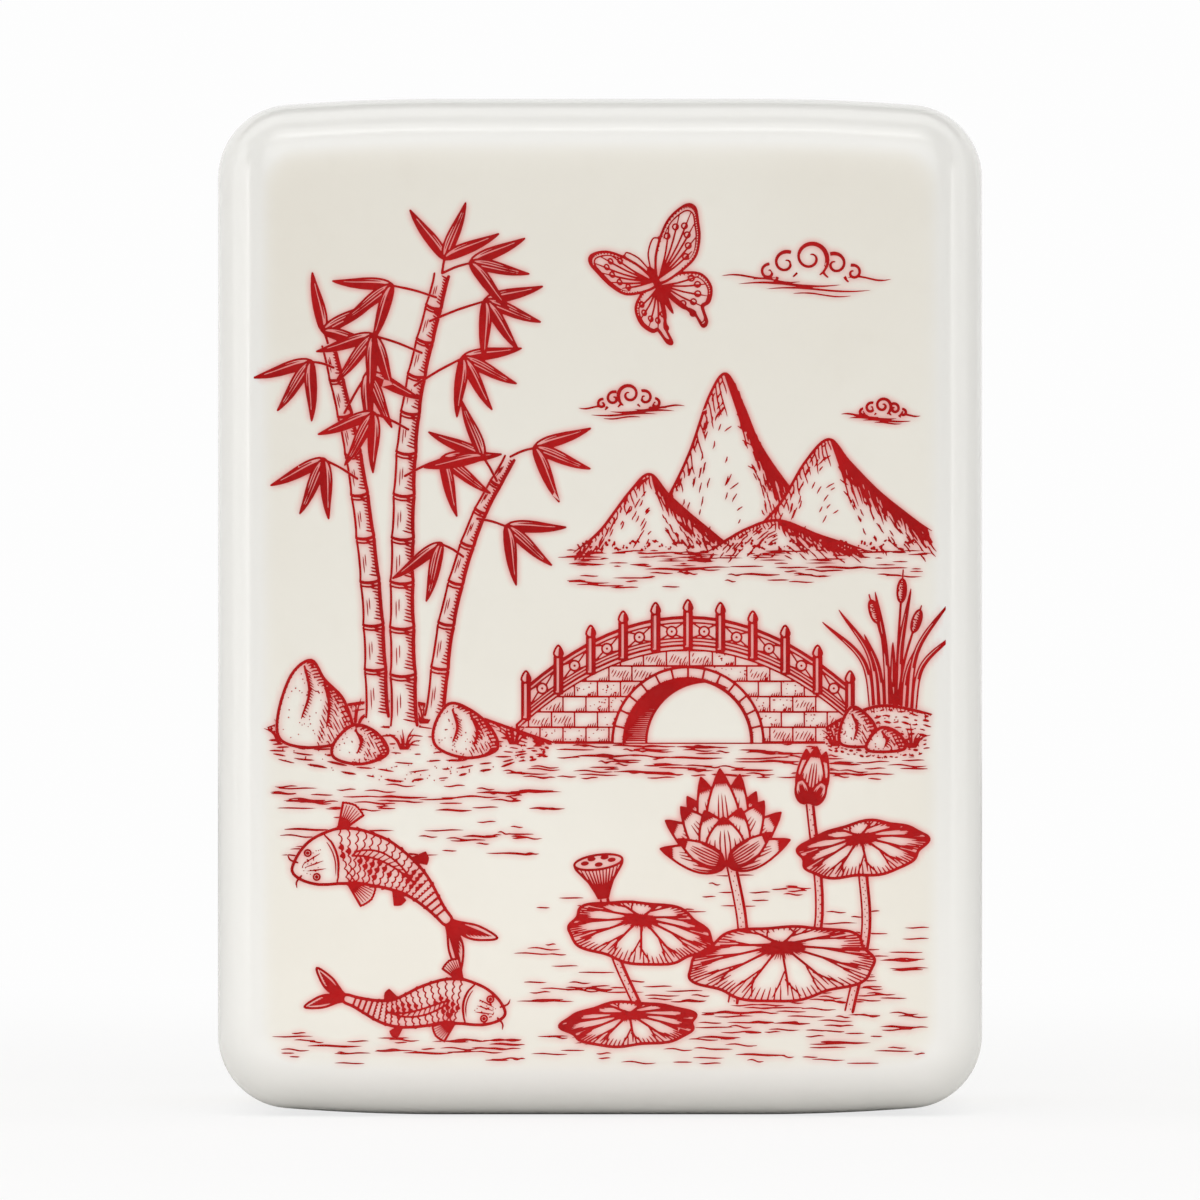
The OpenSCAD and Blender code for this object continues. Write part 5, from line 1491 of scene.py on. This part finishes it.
# Finish of the back, a warmer ivory
backLook = {
    "light": (233, 226, 205), "deep": (226, 217, 193), "fleck": (212, 200, 172),
    "toneSize": 70, "fleckSize": 600, "fleckShare": 0.18,
    "waveSize": 170, "waveDepth": 0.11, "grainSize": 3200, "grainDepth": 0.01,
    "smooth": 0.18, "worn": 0.27, "wearSize": 150, "ior": 1.5, "specular": 0.5,
}
back.data.materials.append(plastic("backIvory", backLook))

# Bond line, a thin amber seam
bondLook = {
    "light": (206, 188, 150), "deep": (188, 166, 124), "fleck": (160, 136, 96),
    "toneSize": 240, "fleckSize": 1600, "fleckShare": 0.35,
    "waveSize": 900, "waveDepth": 0.2, "grainSize": 5000, "grainDepth": 0.03,
    "smooth": 0.25, "worn": 0.45, "wearSize": 400, "ior": 1.48, "specular": 0.5,
}
bond.data.materials.append(plastic("bondLine", bondLook))

# Red print: slightly uneven ink, with a thinner reflection than the face
inkLook = {
    "light": (166, 12, 14), "deep": (148, 5, 7), "fleck": (128, 3, 4),
    "toneSize": 380, "fleckSize": 5200, "fleckShare": 0.5,
    "waveSize": 1400, "waveDepth": 0.12, "grainSize": 9000, "grainDepth": 0.05,
    "smooth": 0.16, "worn": 0.22, "wearSize": 900, "ior": 1.48, "specular": 0.22,
}
redPrint = plastic("redPrint", inkLook)
for piece in inkPieces:
    piece.data.materials.append(redPrint)
print("materials done")

# Floor and world: white to the camera, the floor with a faint shadow

stage = {"floor": (240, 239, 237), "floorRough": 0.9, "floorShine": 0.1, "shadowShare": 0.22,
         "shadowFrom": 0.03, "shadowReach": 0.16, "white": 0.985, "worldLight": 0.01}
bpy.ops.mesh.primitive_plane_add(size=6, location=(0, 0, -0.00002))
floor = bpy.context.object
floor.name = "floor"
material, tree, shader = newMaterial("paleFloor")
shader.inputs["Base Color"].default_value = linear(*stage["floor"])
shader.inputs["Roughness"].default_value = stage["floorRough"]
shader.inputs["Specular IOR Level"].default_value = stage["floorShine"]
glow = node(tree, "ShaderNodeEmission", {"Color": (1, 1, 1, 1), "Strength": stage["white"]})
rays = node(tree, "ShaderNodeLightPath")
ground = node(tree, "ShaderNodeTexCoord")
away = node(tree, "ShaderNodeVectorMath", operation="LENGTH")
link(tree, ground.outputs["Object"], away.inputs[0])
plainShare = mapped(tree, away.outputs["Value"], {
    "From Min": stage["shadowFrom"], "From Max": stage["shadowReach"], "To Min": 1 - stage["shadowShare"],
}, interpolation_type="SMOOTHSTEP")
toLens = node(tree, "ShaderNodeMath", operation="MULTIPLY")
link(tree, rays.outputs["Is Camera Ray"], toLens.inputs[0])
link(tree, plainShare, toLens.inputs[1])
blend = node(tree, "ShaderNodeMixShader")
link(tree, toLens.outputs[0], blend.inputs[0])
link(tree, shader.outputs["BSDF"], blend.inputs[1])
link(tree, glow.outputs["Emission"], blend.inputs[2])
link(tree, blend.outputs["Shader"], tree.nodes["Material Output"].inputs["Surface"])
floor.data.materials.append(material)

world = bpy.data.worlds.new("softWhite")
bpy.context.scene.world = world
world.use_nodes = True
tree = world.node_tree
tree.nodes.clear()
rays = node(tree, "ShaderNodeLightPath")
seen = node(tree, "ShaderNodeBackground", {"Color": (1, 1, 1, 1), "Strength": stage["white"]})
dim = node(tree, "ShaderNodeBackground", {"Color": (1.0, 0.99, 0.97, 1), "Strength": stage["worldLight"]})
blend = node(tree, "ShaderNodeMixShader")
link(tree, rays.outputs["Is Camera Ray"], blend.inputs[0])
link(tree, dim.outputs["Background"], blend.inputs[1])
link(tree, seen.outputs["Background"], blend.inputs[2])
out = node(tree, "ShaderNodeOutputWorld")
link(tree, blend.outputs["Shader"], out.inputs["Surface"])

# Softboxes. A panel is given by its edges across, in depth and in height, and one pair of them is equal.
softboxes = {
    "top": {"brightness": 5.0, "faces": (0, 0, -1), "panels": {
        "strip": ((-0.29, 0.29), (-0.6, -0.49), (0.62, 0.62)),
        "near": ((-0.29, 0.29), (-0.49, -0.3), (0.62, 0.62)),
        "middle": ((-0.8, 0.8), (-0.1, 0.25), (0.62, 0.62))}},
    "left": {"brightness": 6.0, "faces": (1, 0, 0), "panels": {
        "strip": ((-0.5, -0.5), (-0.475, -0.4), (0, 0.23)),
        "near": ((-0.5, -0.5), (-0.4, -0.25), (0, 0.23)),
        "middle": ((-0.5, -0.5), (-0.25, 0), (0, 0.4)),
        "back": ((-0.5, -0.5), (0, 0.4), (0, 0.4))}},
    "right": {"brightness": 4.6, "faces": (-1, 0, 0), "panels": {
        "strip": ((0.5, 0.5), (-0.455, -0.38), (0, 0.23)),
        "near": ((0.5, 0.5), (-0.38, -0.25), (0, 0.23)),
        "middle": ((0.5, 0.5), (-0.25, 0), (0, 0.4)),
        "back": ((0.5, 0.5), (0, 0.4), (0, 0.4))}},
    "fill": {"brightness": 3.8, "faces": None, "panels": {  # None turns a panel to the tile
        "low": ((-0.6, 0.6), (-1.3, -1.3), (0.1, 0.9)),
        "high": ((-0.6, 0.6), (-0.95, -0.95), (0.3, 1))}},
    "backdrop": {"brightness": 3.0, "faces": (0, -1, 0), "panels": {
        "wall": ((-1.3, 1.3), (1.1, 1.1), (0, 1))}},
    "table": {"brightness": 2.0, "faces": (0, 0, 1), "panels": {
        "foot": ((-0.02, 0.02), (-0.04, -0.014), (0.0004, 0.0004))}},
}
fallOff = {"strip": 2.8, "near": 1.2, "back": 0.4}  # brightness of these panels as a share of their row's
tileMiddle = Vector((0, 0, tile["height"] / 2 * mm))
for rowName, row in softboxes.items():
    for panelName, edges in row["panels"].items():
        wide, high = [b - a for a, b in edges if b > a]
        light = bpy.data.lights.new(rowName + panelName.capitalize(), "AREA")
        light.shape = "RECTANGLE"
        light.size, light.size_y = wide, high
        light.energy = row["brightness"] * fallOff.get(panelName, 1) * wide * high
        lamp = bpy.data.objects.new(light.name, light)
        lamp.visible_camera = False
        bpy.context.scene.collection.objects.link(lamp)
        lamp.location = [(a + b) / 2 for a, b in edges]
        way = Vector(row["faces"]) if row["faces"] else tileMiddle - lamp.location
        lamp.rotation_euler = way.to_track_quat("-Z", "Y").to_euler()

# Camera, level with the tile's middle and square to its face
lens = {"distance": 0.5, "field": 0.0473, "sensor": 36, "silhouetteDepth": -0.0078, "raise": 0.000256}
camera = bpy.data.cameras.new("camera")
camera.sensor_width = lens["sensor"]
camera.lens = lens["sensor"] * lens["distance"] / lens["field"]
camera.clip_start, camera.clip_end = 0.01, 20
view = bpy.data.objects.new("camera", camera)
bpy.context.scene.collection.objects.link(view)
view.location = (0, lens["silhouetteDepth"] - lens["distance"], tileMiddle.z + lens["raise"])
view.rotation_euler = (math.pi / 2, 0, 0)
bpy.context.scene.camera = view
bpy.context.scene.view_settings.view_transform = "Standard"
print("stage set")
